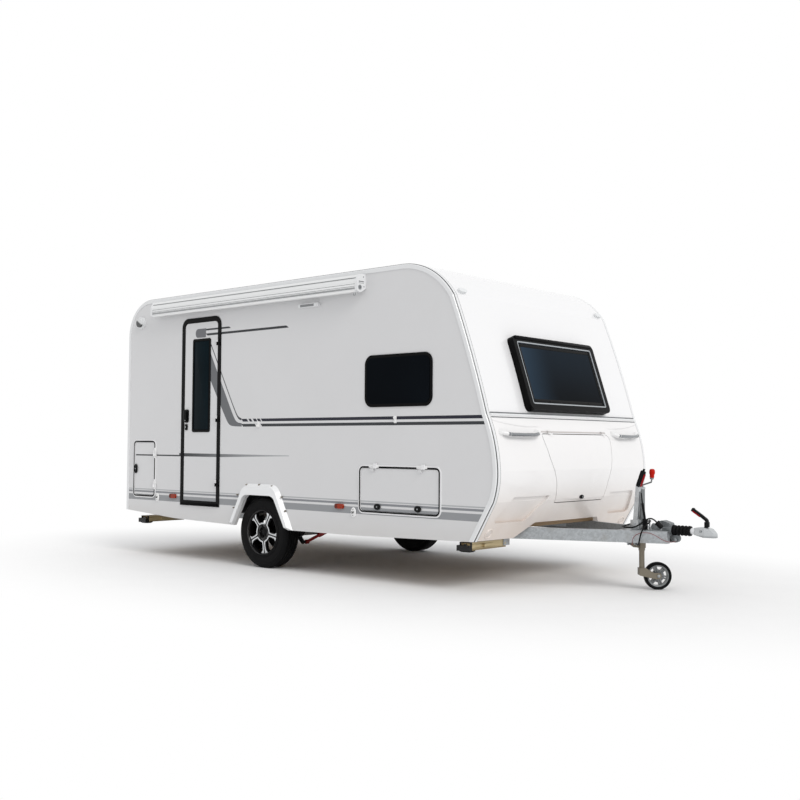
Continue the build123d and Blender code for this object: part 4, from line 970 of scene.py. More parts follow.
class Work:
    """A piece of bmesh work that grows by shapes and ends as one object."""

    def __init__(self) -> None:
        """Start empty."""
        self.mesh = bmesh.new()

    def _round(
        self,
        verts: list[bmesh.types.BMVert],
        bevel: float,
        segments: int,
        sharp: float = SHARP_EDGE,
    ) -> None:
        """Bevel every sharp edge among the vertices.

        Args:
            verts: the vertices.
            bevel: radius of the edges; 0 leaves them sharp.
            segments: faces over each edge.
            sharp: the angle in radians over which an edge is sharp.
        """
        if bevel <= 0:
            return
        chosen = set(verts)
        edges = [
            e
            for e in self.mesh.edges
            if e.verts[0] in chosen
            and e.verts[1] in chosen
            and len(e.link_faces) == 2
            and e.calc_face_angle(0.0) > sharp
        ]
        bmesh.ops.bevel(
            self.mesh,
            geom=edges,
            offset=bevel,
            affect="EDGES",
            segments=segments,
            profile=0.5,
            material=-1,
        )

    def block(
        self,
        middle: Vector,
        size: Point,
        bevel: float = 0.0,
        segments: int = 2,
        turn: Matrix | None = None,
    ) -> None:
        """Add a block.

        Args:
            middle: the block's centre.
            size: its three sides.
            bevel: radius of its edges.
            segments: faces over each edge.
            turn: a rotation about the centre.
        """
        spin = (turn or Matrix.Identity(3)).to_4x4()
        place = Matrix.Translation(middle) @ spin @ Matrix.Diagonal((*size, 1.0))
        made = bmesh.ops.create_cube(self.mesh, size=1.0, matrix=place)
        self._round(made["verts"], bevel, segments)

    def rod(
        self,
        start: Vector,
        end: Vector,
        radius: float,
        radius_end: float | None = None,
        sides: int = 24,
        bevel: float = 0.0,
        segments: int = 2,
    ) -> None:
        """Add a round rod or cone between two points.

        Args:
            start: centre of one end.
            end: centre of the other.
            radius: radius at the start.
            radius_end: radius at the end, the same when left out.
            sides: faces around it.
            bevel: radius of its end edges.
            segments: faces over each end edge.
        """
        line = end - start
        turn = line.to_track_quat("Z", "Y").to_matrix().to_4x4()
        place = Matrix.Translation((start + end) / 2) @ turn
        made = bmesh.ops.create_cone(
            self.mesh,
            cap_ends=True,
            segments=sides,
            radius1=radius,
            radius2=radius if radius_end is None else radius_end,
            depth=line.length,
            matrix=place,
        )
        self._round(made["verts"], bevel, segments, SHARP_RIM)

    def turned(
        self,
        middle: Vector,
        along: Vector,
        profile: list[tuple[float, float]],
        steps: int = 48,
    ) -> None:
        """Spin a profile of (radius, distance along) once about a line.

        Args:
            middle: where distances along the line start.
            along: the line's direction.
            profile: the outline; its ends may lie on the line or meet.
            steps: faces around.
        """
        before = set(self.mesh.verts)
        along = along.normalized()
        out = along.orthogonal().normalized()
        verts = [
            self.mesh.verts.new(middle + out * radius + along * height)
            for radius, height in profile
        ]
        edges = [self.mesh.edges.new(pair) for pair in zip(verts, verts[1:])]
        if profile[0] != profile[-1] and min(profile[0][0], profile[-1][0]) > WELD:
            edges.append(self.mesh.edges.new((verts[-1], verts[0])))
        bmesh.ops.spin(
            self.mesh,
            geom=verts + edges,
            cent=middle,
            axis=along,
            angle=math.tau,
            steps=steps,
            use_merge=True,
            use_normal_flip=False,
            use_duplicate=False,
        )
        fresh = [v for v in self.mesh.verts if v not in before]
        bmesh.ops.remove_doubles(self.mesh, verts=fresh, dist=WELD)

    def face(self, corners: list[Vector], radius: float, segments: int = 6) -> bmesh.types.BMFace:
        """Add a flat face and round its corners.

        Args:
            corners: the corners in order.
            radius: radius of the corners.
            segments: edges over each corner.

        Returns:
            The face.
        """
        before = set(self.mesh.faces)
        verts = [self.mesh.verts.new(p) for p in corners]
        self.mesh.faces.new(verts)
        if radius > 0:
            bmesh.ops.bevel(
                self.mesh,
                geom=verts,
                offset=radius,
                offset_type="OFFSET",
                affect="VERTICES",
                segments=segments,
                profile=0.5,
                material=-1,
            )
        return max((f for f in self.mesh.faces if f not in before), key=lambda f: f.calc_area())

    def thicken(
        self, faces: list[bmesh.types.BMFace], sweep: Vector, bevel: float, segments: int
    ) -> None:
        """Sweep flat faces into a solid and round its edges.

        Args:
            faces: the faces.
            sweep: direction and depth.
            bevel: radius of the edges.
            segments: faces over each edge.
        """
        start = {v for f in faces for v in f.verts}
        made = bmesh.ops.extrude_face_region(self.mesh, geom=faces)
        moved = [g for g in made["geom"] if isinstance(g, bmesh.types.BMVert)]
        bmesh.ops.translate(self.mesh, verts=moved, vec=sweep)
        self._round([*start, *moved], bevel, segments)

    def slab(
        self, corners: list[Vector], radius: float, sweep: Vector, bevel: float, segments: int = 2
    ) -> None:
        """Add a plate with rounded corners.

        Args:
            corners: corners of one face in order.
            radius: radius of the corners.
            sweep: direction and thickness.
            bevel: radius of the edges.
            segments: faces over each edge.
        """
        self.thicken([self.face(corners, radius)], sweep, bevel, segments)

    def hoop(
        self, corners: list[Vector], radius: float, width: float, sweep: Vector, bevel: float
    ) -> None:
        """Add a frame with rounded corners.

        Args:
            corners: outer corners in order.
            radius: radius of the outer corners.
            width: width of the frame's bars.
            sweep: direction and thickness.
            bevel: radius of the edges.
        """
        inner = self.face(corners, radius)
        made = bmesh.ops.inset_region(
            self.mesh,
            faces=[inner],
            thickness=width,
            depth=0.0,
            use_even_offset=True,
            use_boundary=True,
        )
        bmesh.ops.delete(self.mesh, geom=[inner], context="FACES")
        self.thicken(made["faces"], sweep, bevel, 2)

    def oval(
        self,
        middle: Vector,
        direction: Point,
        half: float,
        thick: float,
        stretch: tuple[float, float],
    ) -> None:
        """Add a raised oval boss.

        Args:
            middle: centre of its foot.
            direction: the way it faces.
            half: its radius before stretching.
            thick: its height.
            stretch: scale across and upwards.
        """
        out = Vector(direction).normalized()
        level = Vector((0.0, 0.0, 1.0)).cross(out).normalized()
        rise = out.cross(level)
        frame = Matrix((level * stretch[0], rise * stretch[1], out)).transposed().to_4x4()
        before = set(self.mesh.verts)
        self.rod(Vector((0, 0, 0)), Vector((0, 0, thick)), half, half * 0.86, 32, thick * 0.35)
        fresh = [v for v in self.mesh.verts if v not in before]
        bmesh.ops.transform(self.mesh, matrix=Matrix.Translation(middle) @ frame, verts=fresh)

    def plate(
        self,
        outline: list[Vector],
        thickness: Vector,
        bevel: float = 0.0,
        segments: int = 2,
    ) -> None:
        """Add a flat plate from its outline.

        Args:
            outline: corners in order.
            thickness: the sweep that makes it solid.
            bevel: radius of its edges.
            segments: faces over each edge.
        """
        face = self.mesh.faces.new([self.mesh.verts.new(p) for p in outline])
        self.thicken([face], thickness, bevel, segments)

    def tube(self, route: list[Vector], radius: float, sides: int = 12) -> None:
        """Add a round tube along a route of points.

        Args:
            route: points of the middle line.
            radius: the tube's radius.
            sides: faces around.
        """
        rings = []
        last = len(route) - 1
        way = (route[1] - route[0]).normalized()
        lie = way.to_track_quat("Z", "Y")
        for i, point in enumerate(route):
            fresh = (route[min(i + 1, last)] - route[max(i - 1, 0)]).normalized()
            lie = way.rotation_difference(fresh) @ lie
            way = fresh
            turn = lie.to_matrix().to_4x4()
            made = bmesh.ops.create_circle(
                self.mesh,
                cap_ends=i in (0, last),
                segments=sides,
                radius=radius,
                matrix=Matrix.Translation(point) @ turn,
            )
            rings.append(made["verts"])
        for low, high in zip(rings, rings[1:]):
            for i in range(sides):
                j = (i + 1) % sides
                self.mesh.faces.new((low[i], low[j], high[j], high[i]))

    def done(
        self,
        name: str,
        body: str,
        material: bpy.types.Material,
        smooth: float = 40.0,
    ) -> bpy.types.Object:
        """Close the work as an object that rides on a body.

        Args:
            name: the piece's name.
            body: the body that it moves with.
            material: its finish.
            smooth: faces that meet under this angle in degrees look smooth.

        Returns:
            The object.
        """
        bmesh.ops.remove_doubles(self.mesh, verts=self.mesh.verts, dist=WELD)
        bmesh.ops.recalc_face_normals(self.mesh, faces=self.mesh.faces)
        limit = math.radians(smooth)
        for face in self.mesh.faces:
            face.smooth = True
        for edge in self.mesh.edges:
            edge.smooth = len(edge.link_faces) == 2 and edge.calc_face_angle(0.0) < limit
        data = bpy.data.meshes.new(name)
        self.mesh.to_mesh(data)
        self.mesh.free()
        data.materials.append(material)
        made = hang(name, data)
        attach(made, body)
        LOG.info("%s rides on %s", name, body)
        return made


@dataclass
class Studio:
    """Camera, floor, sky and lamps."""

    eye: Point = (6.5067, -7.534, 1.152)
    heading: float = 40.58
    pitch: float = 0.0401
    roll: float = 0.0058
    lens: float = 47.075
    shift_x: float = -0.02437
    shift_y: float = 0.001856
    clip_end: float = 200.0
    sun: float = 1.22
    sun_from: Point = (0.80, -0.22, 0.62)
    sun_spread: float = 28.0
    sun_tone: Point = (1.0, 0.985, 0.965)
    sky: float = 0.70
    sky_tone: Tone = (0.985, 0.99, 1.0, 1.0)
    floor_tones: tuple[Tone, Tone] = ((0.93, 0.93, 0.93, 1.0), (0.97, 0.97, 0.97, 1.0))
    floor_reach: float = 40.0
    white_from: float = 1.55
    white_to: float = 3.6

    def camera(self) -> None:
        """Set the camera where the photograph was taken."""
        data = bpy.data.cameras.new("view")
        data.sensor_width = 36.0
        data.lens = self.lens
        data.shift_x = self.shift_x
        data.shift_y = self.shift_y
        data.clip_end = self.clip_end
        turn = math.radians(self.heading)
        side = Vector((math.cos(turn), math.sin(turn), 0.0))
        ahead = Vector(
            (
                -math.sin(turn) * math.cos(self.pitch),
                math.cos(turn) * math.cos(self.pitch),
                math.sin(self.pitch),
            )
        )
        up = side.cross(ahead)
        across = side * math.cos(self.roll) + up * math.sin(self.roll)
        upright = up * math.cos(self.roll) - side * math.sin(self.roll)
        turned = Matrix((across, upright, -ahead)).transposed().to_4x4()
        made = hang("view", data)
        made.matrix_world = Matrix.Translation(Vector(self.eye)) @ turned
        bpy.context.scene.camera = made

    def floor(self) -> None:
        """Lay a plain pale floor that keeps the shadow and turns white far from it."""
        shade = Shade("floor_pale")
        x, y = shade.axis("x"), shade.axis("y")
        far = ((x - 0.8) * (x - 0.8) * 0.35 + y * y).root()
        far = far.fade(self.white_from, self.white_to)
        speck = shade.noise(3.0, 4.0)
        tone = shade.mix(speck, *self.floor_tones)
        matt = shade.node("ShaderNodeBsdfDiffuse", None, {"Color": tone})
        white = shade.node("ShaderNodeEmission", None, {"Color": WHITE, "Strength": 1.0})
        share = far * shade.shown()
        both = shade.node(
            "ShaderNodeMixShader", None, {0: share, 1: matt.outputs[0], 2: white.outputs[0]}
        )
        shade.node("ShaderNodeOutputMaterial", None, {0: both.outputs[0]})
        work = Work()
        bmesh.ops.create_grid(work.mesh, x_segments=2, y_segments=2, size=self.floor_reach)
        data = bpy.data.meshes.new("floor")
        work.mesh.to_mesh(data)
        work.mesh.free()
        data.materials.append(shade.material)
        hang("floor", data)

    def light(self) -> None:
        """Light the caravan softly, more from the front than from the side."""
        scene = bpy.context.scene
        scene.view_settings.view_transform = "Standard"
        scene.world = bpy.data.worlds.new("sky")
        shade = Shade("sky", scene.world)
        kind = "ShaderNodeBackground"
        dim = shade.node(kind, None, {"Color": self.sky_tone, "Strength": self.sky})
        white = shade.node(kind, None, {"Color": WHITE, "Strength": 1.0})
        both = shade.node(
            "ShaderNodeMixShader", None, {0: shade.shown(), 1: dim.outputs[0], 2: white.outputs[0]}
        )
        shade.node("ShaderNodeOutputWorld", None, {0: both.outputs[0]})
        data = bpy.data.lights.new("sun", "SUN")
        data.energy = self.sun
        data.angle = math.radians(self.sun_spread)
        data.color = self.sun_tone
        made = hang("sun", data)
        made.rotation_euler = Vector(self.sun_from).to_track_quat("Z", "Y").to_euler()

    def build(self) -> None:
        """Set up the whole studio."""
        self.camera()
        self.floor()
        self.light()


@dataclass
class Assembly:
    """A sub-assembly that dresses its pieces in the shared finishes."""

    finishes: Finishes

    def fit(
        self, work: Work, name: str, body: str, finish: str, slot: str, smooth: float = 40.0
    ) -> bpy.types.Object:
        """Close a piece of work in one of the finishes.

        Args:
            work: the finished work.
            name: the piece's name.
            body: the body that it moves with.
            finish: the finish's name.
            slot: the record's slot that the finish belongs to; not used.
            smooth: faces that meet under this angle in degrees look smooth.

        Returns:
            The object.
        """
        return work.done(name, body, self.finishes.get(finish), smooth)


@dataclass
class Cords(Assembly):
    """The towing cable and the thin breakaway cable."""

    towing: list[Point] = field(
        default_factory=lambda: [
            (3.300, -0.116, 0.366),
            (3.338, -0.162, 0.364),
            (3.370, -0.210, 0.388),
            (3.388, -0.226, 0.440),
            (3.400, -0.210, 0.494),
            (3.416, -0.166, 0.532),
            (3.412, -0.110, 0.550),
            (3.388, -0.052, 0.554),
            (3.350, -0.006, 0.548),
            (3.304, 0.046, 0.540),
            (3.250, 0.062, 0.530),
            (3.194, 0.038, 0.520),
            (3.160, -0.014, 0.508),
            (3.156, -0.076, 0.500),
            (3.184, -0.132, 0.500),
            (3.236, -0.166, 0.499),
            (3.294, -0.174, 0.500),
            (3.340, -0.160, 0.520),
            (3.376, -0.136, 0.556),
            (3.412, -0.118, 0.578),
            (3.446, -0.108, 0.570),
            (3.466, -0.102, 0.548),
        ]
    )
    breakaway: list[Point] = field(
        default_factory=lambda: [
            (3.262, -0.146, 0.368),
            (3.290, -0.166, 0.366),
            (3.308, -0.204, 0.382),
            (3.320, -0.222, 0.420),
            (3.352, -0.218, 0.456),
            (3.400, -0.198, 0.470),
            (3.448, -0.176, 0.468),
            (3.490, -0.154, 0.446),
            (3.532, -0.134, 0.416),
            (3.566, -0.098, 0.399),
            (3.582, -0.056, 0.397),
            (3.583, -0.0143, 0.402),
        ]
    )

    def line(self, name: str, route: list[Point], diameter: float, finish: str) -> bpy.types.Object:
        """Lay one cord along its route.

        Args:
            name: the piece's name.
            route: control points from the axle.
            diameter: the cord's thickness.
            finish: the name of its finish.

        Returns:
            The curve object.
        """
        data = bpy.data.curves.new(name, "CURVE")
        data.dimensions = "3D"
        spline = data.splines.new("NURBS")
        spline.points.add(len(route) - 1)
        for spot, point in zip(spline.points, route):
            spot.co = (*at(*point), 1.0)
        spline.order_u = 3
        spline.use_endpoint_u = True
        spline.resolution_u = 10
        data.bevel_depth = diameter / 2
        data.bevel_resolution = 4
        data.use_fill_caps = True
        data.materials.append(self.finishes.get(finish))
        made = hang(name, data)
        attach(made, "root")
        LOG.info("%s rides on root", name)
        return made

    def build(self) -> None:
        cable = self.line("towing_lead", self.towing, 0.012, "cord_black")
        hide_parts("towing_cable")
        tuple(at(*self.towing[0]))
        thin = self.line("breakaway_lead", self.breakaway, 0.004, "cord_red")
        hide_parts("breakaway_cable")
        tuple(at(*self.breakaway[0]))


@dataclass
class FrameDress(Assembly):
    """Finishes of the frame's own nodes: a row for each finish with its nodes."""

    plan: dict[str, str] = field(
        default_factory=lambda: {
            "side_sheet": "side_wall_right side_wall_left door_panel locker_door service_door",
            "roof_sheet": "roof_panel",
            "nose_gloss": "rear_panel front_panel",
            "sill_gloss": "rear_bumper front_moulding gas_door",
            "arch_white": "wheel_arch_trims",
            "trim_white": "awning_end_caps fridge_vents",
            "edge_trim": "corner_trims",
            "opening_white": "door_frames",
            "awning_white": "awning_cassette",
            "ply_floor": "floor_panel front_bulkhead",
            "box_grey": "wheel_boxes",
            "frame_black": "window_frames door_window",
            "window_tint": "window_panes",
            "lamp_amber": "marker_lamps",
            "lamp_red": "rear_lamps",
            "lamp_wall": "wall_lamps",
            "lamp_clear": "rooflights",
            "handle_silver": "grab_handles",
            "plastic_black": "door_handle coupling_handle handbrake_strut cable_plug",
            "galvanised": "chassis_rails drawbar axle_tube steady_brackets cable_bracket",
            "cast_grey": "overrun_housing",
            "head_zinc": "coupling_head",
            "zinc_plate": "handbrake_lever",
            "jockey_zinc": "jockey_tube",
            "dull_zinc": "jockey_leg jockey_fork",
            "steady_zinc": "steady_front_right steady_front_left "
            "steady_rear_right steady_rear_left",
            "rubber_black": "bellows jockey_wheel",
            "tyre_black": "tyre_right tyre_left",
            "alloy_black": "rim_right rim_left",
            "brake_black": "drum_right drum_left",
            "axle_steel": "swing_arms",
            "damper_red": "dampers",
            "cord_black": "towing_cable",
            "cord_red": "breakaway_cable",
        }
    )

    def build(self, nodes: dict[str, bpy.types.Object]) -> None:
        """Give every node its finish.

        Args:
            nodes: the frame's nodes by name.
        """
        finish_of = {name: key for key, names in self.plan.items() for name in names.split()}
        for name, node in nodes.items():
            material = self.finishes.get(finish_of[name])
            for slot in node.material_slots:
                slot.material = material
            LOG.info("%s is finished in %s", name, finish_of[name])


@dataclass
class RightSide(Assembly):
    """Seals, latches, glass and small fittings of the door side."""

    seal: float = 0.012
    seal_inset: float = 0.0115
    seal_width: float = 0.044
    seal_y: float = -1.156
    screw_foot: float = 1.156
    screw_length: float = 0.0175
    locker: Rect = (1.248, 2.152, 0.564, 0.971)
    service: Rect = (-2.014, -1.619, 0.580, 1.175)
    glass: Rect = (-1.006, -0.775, 1.274, 2.143)
    locker_latches: Spots = ((1.471, 0.625), (1.913, 0.625))
    service_latch: tuple[float, float] = (-1.959, 0.874)
    hinges_x: tuple[float, ...] = (1.430, 1.955)
    hinges_z: tuple[float, ...] = (0.720, 1.040)
    handle_rect: Rect = (-1.139, -1.094, 1.352, 1.468)
    bead_rect: Rect = (-1.011, -0.770, 1.269, 2.148)
    inlets: Spots = ((1.193, 0.566), (-1.585, 0.590))
    arch_screws: Spots = (
        (-0.182, 0.759),
        (-0.006, 0.764),
        (0.170, 0.757),
        (0.302, 0.662),
        (0.353, 0.539),
        (-0.314, 0.662),
        (-0.365, 0.539),
    )

    def frame_corners(self, rect: Rect, y: float) -> list[Vector]:
        """Corners of an upright rectangle at a width."""
        return [at(x, y, z) for x, z in corners_of(*rect)]

    def seals(self) -> None:
        """Lay the black seal inside each hatch ring."""
        for name, rect in (("locker_seal", self.locker), ("service_seal", self.service)):
            x0, x1, z0, z1 = rect
            edge = self.seal_inset
            inner = (x0 + edge, x1 - edge, z0 + edge, z1 - edge)
            work = Work()
            work.hoop(
                self.frame_corners(inner, self.seal_y),
                self.seal_width,
                self.seal,
                Vector((0, -0.0025, 0)),
                0.0008,
            )
            self.fit(work, name, "root", "seal_black", "rubber_black")

    def hinge_plates(self) -> None:
        """Cover the seals at the hinges with white plates."""
        work = Work()
        for x in self.hinges_x:
            work.block(at(x, -1.1595, 0.9615), (0.112, 0.006, 0.026), 0.0025)
        for z in self.hinges_z:
            work.block(at(-1.6285, -1.1595, z), (0.022, 0.006, 0.105), 0.0025)
        self.fit(work, "hinge_plates", "root", "handle_white", "trim_white")

    def latches(self) -> None:
        """Fit the oval latches of both hatches."""
        spots = [
            ("locker_hatch", f"locker_latch_{i}", p) for i, p in enumerate(self.locker_latches)
        ]
        spots.append(("service_hatch", "service_latch", self.service_latch))
        for body, name, (x, z) in spots:
            work = Work()
            tall = 1.3 if body == "service_hatch" else 0.68
            wide = 0.8 if body == "service_hatch" else 1.0
            work.oval(at(x, -1.1585, z), (0.0, -1.0, 0.0), 0.039, 0.006, (wide, tall))
            work.oval(at(x, -1.1640, z), (0.0, -1.0, 0.0), 0.025, 0.004, (wide, tall))
            self.fit(work, name, body, "plastic_black", "black_plastic")
            lock = Work()
            lock.rod(at(x + 0.003, -1.1675, z), at(x + 0.003, -1.1705, z), 0.0065, None, 20, 0.001)
            lock.block(at(x + 0.003, -1.1708, z), (0.0012, 0.0012, 0.006))
            self.fit(lock, name + "_lock", body, "bolt_zinc", "zinc")

    def door(self) -> None:
        """Glaze the door window and finish the handle and lock."""
        work = Work()
        work.slab(self.frame_corners(self.glass, -1.1525), 0.010, Vector((0, -0.0022, 0)), 0.0008)
        self.fit(work, "door_glass", "entrance_door", "door_tint", "window_tint")
        bead = Work()
        bead.hoop(
            self.frame_corners(self.bead_rect, -1.1545),
            0.012,
            0.006,
            Vector((0, -0.0042, 0)),
            0.0012,
        )
        self.fit(bead, "door_glass_bead", "entrance_door", "seal_black", "frame_black")
        pull = Work()
        pull.slab(
            self.frame_corners(self.handle_rect, -1.178), 0.014, Vector((0, -0.006, 0)), 0.0025
        )
        pull.block(at(-1.1165, -1.182, 1.410), (0.012, 0.008, 0.076), 0.003)
        pull.rod(at(-1.118, -1.160, 1.300), at(-1.118, -1.168, 1.300), 0.014, None, 28, 0.002)
        self.fit(pull, "door_pull_face", "entrance_door", "plastic_black", "black_plastic")
        keys = Work()
        keys.rod(at(-1.118, -1.167, 1.300), at(-1.118, -1.1705, 1.300), 0.009, None, 24, 0.001)
        keys.block(at(-1.118, -1.1712, 1.300), (0.002, 0.0016, 0.008))
        keys.rod(at(-1.106, -1.1795, 1.366), at(-1.106, -1.1850, 1.366), 0.0055, None, 20, 0.001)
        self.fit(keys, "door_lock_barrels", "entrance_door", "bolt_zinc", "zinc")
        sill = Work()
        sill.block(at(-0.901, -1.160, 0.548), (0.560, 0.010, 0.022), 0.003)
        sill.block(at(-0.901, -1.166, 0.539), (0.560, 0.004, 0.006), 0.001)
        self.fit(sill, "door_step_strip", "root", "seal_black", "frame_black")

    def fittings(self) -> None:
        """Fit the retainers, eyes, hooks and arch screws."""
        white = "handle_white"
        work = Work()
        work.block(at(-0.040, -1.1545, 1.320), (0.030, 0.012, 0.058), 0.004)
        work.block(at(-0.040, -1.1660, 1.306), (0.022, 0.016, 0.020), 0.004)
        work.block(at(-0.040, -1.1640, 1.338), (0.018, 0.012, 0.012), 0.003)
        self.fit(work, "door_retainer", "root", white, "trim_white")
        work = Work()
        work.block(at(1.662, -1.1545, 1.347), (0.026, 0.012, 0.060), 0.004)
        work.block(at(1.662, -1.1660, 1.362), (0.020, 0.014, 0.018), 0.004)
        work.oval(at(1.662, -1.1600, 1.330), (0.0, -1.0, 0.0), 0.011, 0.006, (1.0, 1.0))
        self.fit(work, "locker_retainer", "root", white, "trim_white")
        for index, (x, z) in enumerate(self.inlets):
            plate = Work()
            plate.oval(at(x, -1.1510, z), (0.0, -1.0, 0.0), 0.043, 0.009, (0.72, 1.06))
            self.fit(plate, f"inlet_plate_{index}", "root", white, "trim_white")
            marks = Work()
            for dz in (-0.024, 0.024):
                marks.rod(at(x, -1.1575, z + dz), at(x, -1.1605, z + dz), 0.0045, None, 16, 0.0008)
            marks.rod(at(x, -1.1575, z), at(x, -1.1600, z), 0.009, None, 20, 0.0008)
            marks.tube(
                [at(x - 0.010, -1.158, z + 0.010), at(x - 0.012, -1.170, z + 0.002),
                 at(x, -1.174, z - 0.008), at(x + 0.012, -1.170, z + 0.002),
                 at(x + 0.010, -1.158, z + 0.010)],
                0.0022,
                8,
            )
            self.fit(marks, f"inlet_marks_{index}", "root", "plastic_black", "black_plastic")
        for side in Side:
            caps = Work()
            for x, z in self.arch_screws:
                spot = at(x, 0, z)
                low = self.screw_foot
                caps.rod(
                    Vector((spot.x, side.value * low, z)),
                    Vector((spot.x, side.value * (low + self.screw_length), z)),
                    0.0080,
                    0.0065,
                    16,
                    0.001,
                )
            name = f"arch_screws_{side.name.lower()}"
            self.fit(caps, name, "root", "dull_zinc", "zinc")

    def build(self) -> None:
        """Fit everything on the door side."""
        self.seals()
        self.hinge_plates()
        self.latches()
        self.door()
        self.fittings()


@dataclass
class Nose(Assembly):
    """Trim line, front glass, handles, gas latch and the corner cups."""

    glass_at: Point = (2.503, 0.0, 1.722)
    lean: float = 18.3
    half_wide: float = 0.5685
    half_high: float = 0.2725
    waist_half: float = 1.104
    waist_steps: int = 24
    top_z: float = 1.386
    belly_z: float = 0.945
    toe_z: float = 0.706
    half_body: float = 1.109
    bulge: float = 0.058
    cup_y: float = 1.012
    cup_z: float = 0.456
    handle_z: float = 1.238
    handle_ends: tuple[float, float] = (0.590, 1.042)

    def on_glass(self, across: float, up: float, out: float) -> Vector:
        """Point over the front window.

        Args:
            across: distance across it from its middle.
            up: distance up it from its middle.
            out: distance out of it.

        Returns:
            The point in the shared frame.
        """
        lean = math.radians(self.lean)
        normal = Vector((math.cos(lean), 0.0, math.sin(lean)))
        rise = Vector((-math.sin(lean), 0.0, math.cos(lean)))
        return at(*self.glass_at) + Vector((0, across, 0)) + rise * up + normal * out

    def out(self, length: float) -> Vector:
        """Step out of the front window's plane."""
        return self.on_glass(0, 0, length) - self.on_glass(0, 0, 0)

    def window(self) -> None:
        """Set the bright bead, whose pale tone is partly a painted highlight, the black inner
        border, which is painted shade along the pane's edge, the rail and the studs of the front
        window.
        """
        w, h = self.half_wide, self.half_high
        corners = corners_of(-w, w, -h, h)
        # The bead's pale silver is partly its own and partly a painted highlight along the pane.
        bead = Work()
        bead.hoop(
            [self.on_glass(a, b, 0.0322) for a, b in corners],
            0.020,
            0.012,
            self.out(0.0100),
            0.0020,
        )
        self.fit(bead, "front_glass_bead", "root", "silver_bead_highlight", "zinc")
        # Painted shade: a black band inside the bead, along the pane's edge.
        inner = Work()
        inner.hoop(
            [self.on_glass(a * 0.972, b * 0.94, 0.0322) for a, b in corners],
            0.016,
            0.030,
            self.out(0.0012),
            0.0004,
        )
        self.fit(inner, "front_glass_inner_shade", "root", "frame_black", "frame_black")
        rail = Work()
        rail.slab(
            [self.on_glass(a, b, 0.044) for a, b in corners_of(-0.585, 0.585, 0.290, 0.314)],
            0.008,
            self.out(0.007),
            0.002,
        )
        self.fit(rail, "front_window_rail", "root", "frame_black", "frame_black")
        knobs = Work()
        for a in (-0.30, 0.30):
            knobs.rod(
                self.on_glass(a, -h + 0.028, 0.0334), self.on_glass(a, -h + 0.028, 0.0375), 0.008,
                None, 20, 0.001
            )
        self.fit(knobs, "front_window_studs", "root", "plastic_black", "black_plastic")

    def waist(self) -> None:
        """Lay the white moulding over the joint, with two grey lines along its edges as painted
        shadow.
        """
        white, lines = Work(), Work()
        for work, z, ahead, radius in (
            (white, 1.3785, -0.0060, 0.0130),
            # Painted shadow: thin grey tubes along the moulding's top and bottom edges.
            (lines, 1.3950, 0.0020, 0.0042),
            (lines, 1.3600, 0.0010, 0.0042),
        ):
            route = []
            for step in range(self.waist_steps + 1):
                y = -self.waist_half + step * 2 * self.waist_half / self.waist_steps
                route.append(at(self.face_x(y, min(z, self.top_z)) + ahead, y, z))
            work.tube(route, radius, 12)
        self.fit(white, "waist_moulding", "root", "trim_white", "trim_white")
        self.fit(lines, "waist_shadow_lines", "root", "line_grey", "rubber_black")

    def face_x(self, y: float, z: float) -> float:
        """Forward face of the lower moulding at a width and height.

        Args:
            y: width from the middle.
            z: height.

        Returns:
            The distance from the axle.
        """
        bulge = self.bulge * (1 - (y / self.half_body) ** 2)
        if z >= self.belly_z:
            share = (z - self.belly_z) / 0.441
            low, high = 2.698 + bulge, 2.590 + 0.35 * bulge
            return low + share * (high - low) + 0.088 * share * (1 - share)
        if z >= self.toe_z:
            share = (z - self.toe_z) / 0.239
            return 2.657 + bulge + share * 0.041 + 0.04 * share * (1 - share)
        share = (z - 0.401) / 0.305
        low, high = 2.474 + 0.6 * bulge, 2.657 + bulge
        return low + share * (high - low)

    def latch(self) -> None:
        """Fit the oval latch at the foot of the gas locker door."""
        x = self.face_x(0, 0.722)
        work = Work()
        work.oval(at(x - 0.002, 0, 0.716), (0.99, 0.0, -0.10), 0.034, 0.010, (1.0, 0.55))
        work.oval(at(x + 0.007, 0, 0.715), (0.99, 0.0, -0.10), 0.022, 0.006, (1.0, 0.55))
        self.fit(work, "gas_latch", "gas_lid", "plastic_black", "black_plastic")
        lock = Work()
        lock.rod(at(x + 0.011, 0, 0.715), at(x + 0.0155, 0, 0.7145), 0.0065, None, 20, 0.001)
        self.fit(lock, "gas_latch_lock", "gas_lid", "bolt_zinc", "zinc")

    def recesses(self) -> None:
        """Set the round cups in the two lower corners of the moulding."""
        for side in Side:
            y = side.value * self.cup_y
            x = self.face_x(y, self.cup_z)
            out = Vector((0.857, 0.0, -0.514))
            place = at(x, y, self.cup_z)
            ring = Work()
            ring.turned(
                place - out * 0.004,
                out,
                [
                    (0.030, 0.003), (0.034, 0.009), (0.041, 0.010), (0.045, 0.006), (0.046, 0.0),
                    (0.030, 0.0)
                ],
                40,
            )
            self.fit(
                ring, f"corner_cup_ring_{side.name.lower()}", "root", "sill_gloss", "gloss_white"
            )
            cup = Work()
            cup.rod(place - out * 0.004, place + out * 0.0012, 0.031, 0.029, 32, 0.001)
            self.fit(cup, f"corner_cup_{side.name.lower()}", "root", "cup_beige", "gloss_white")

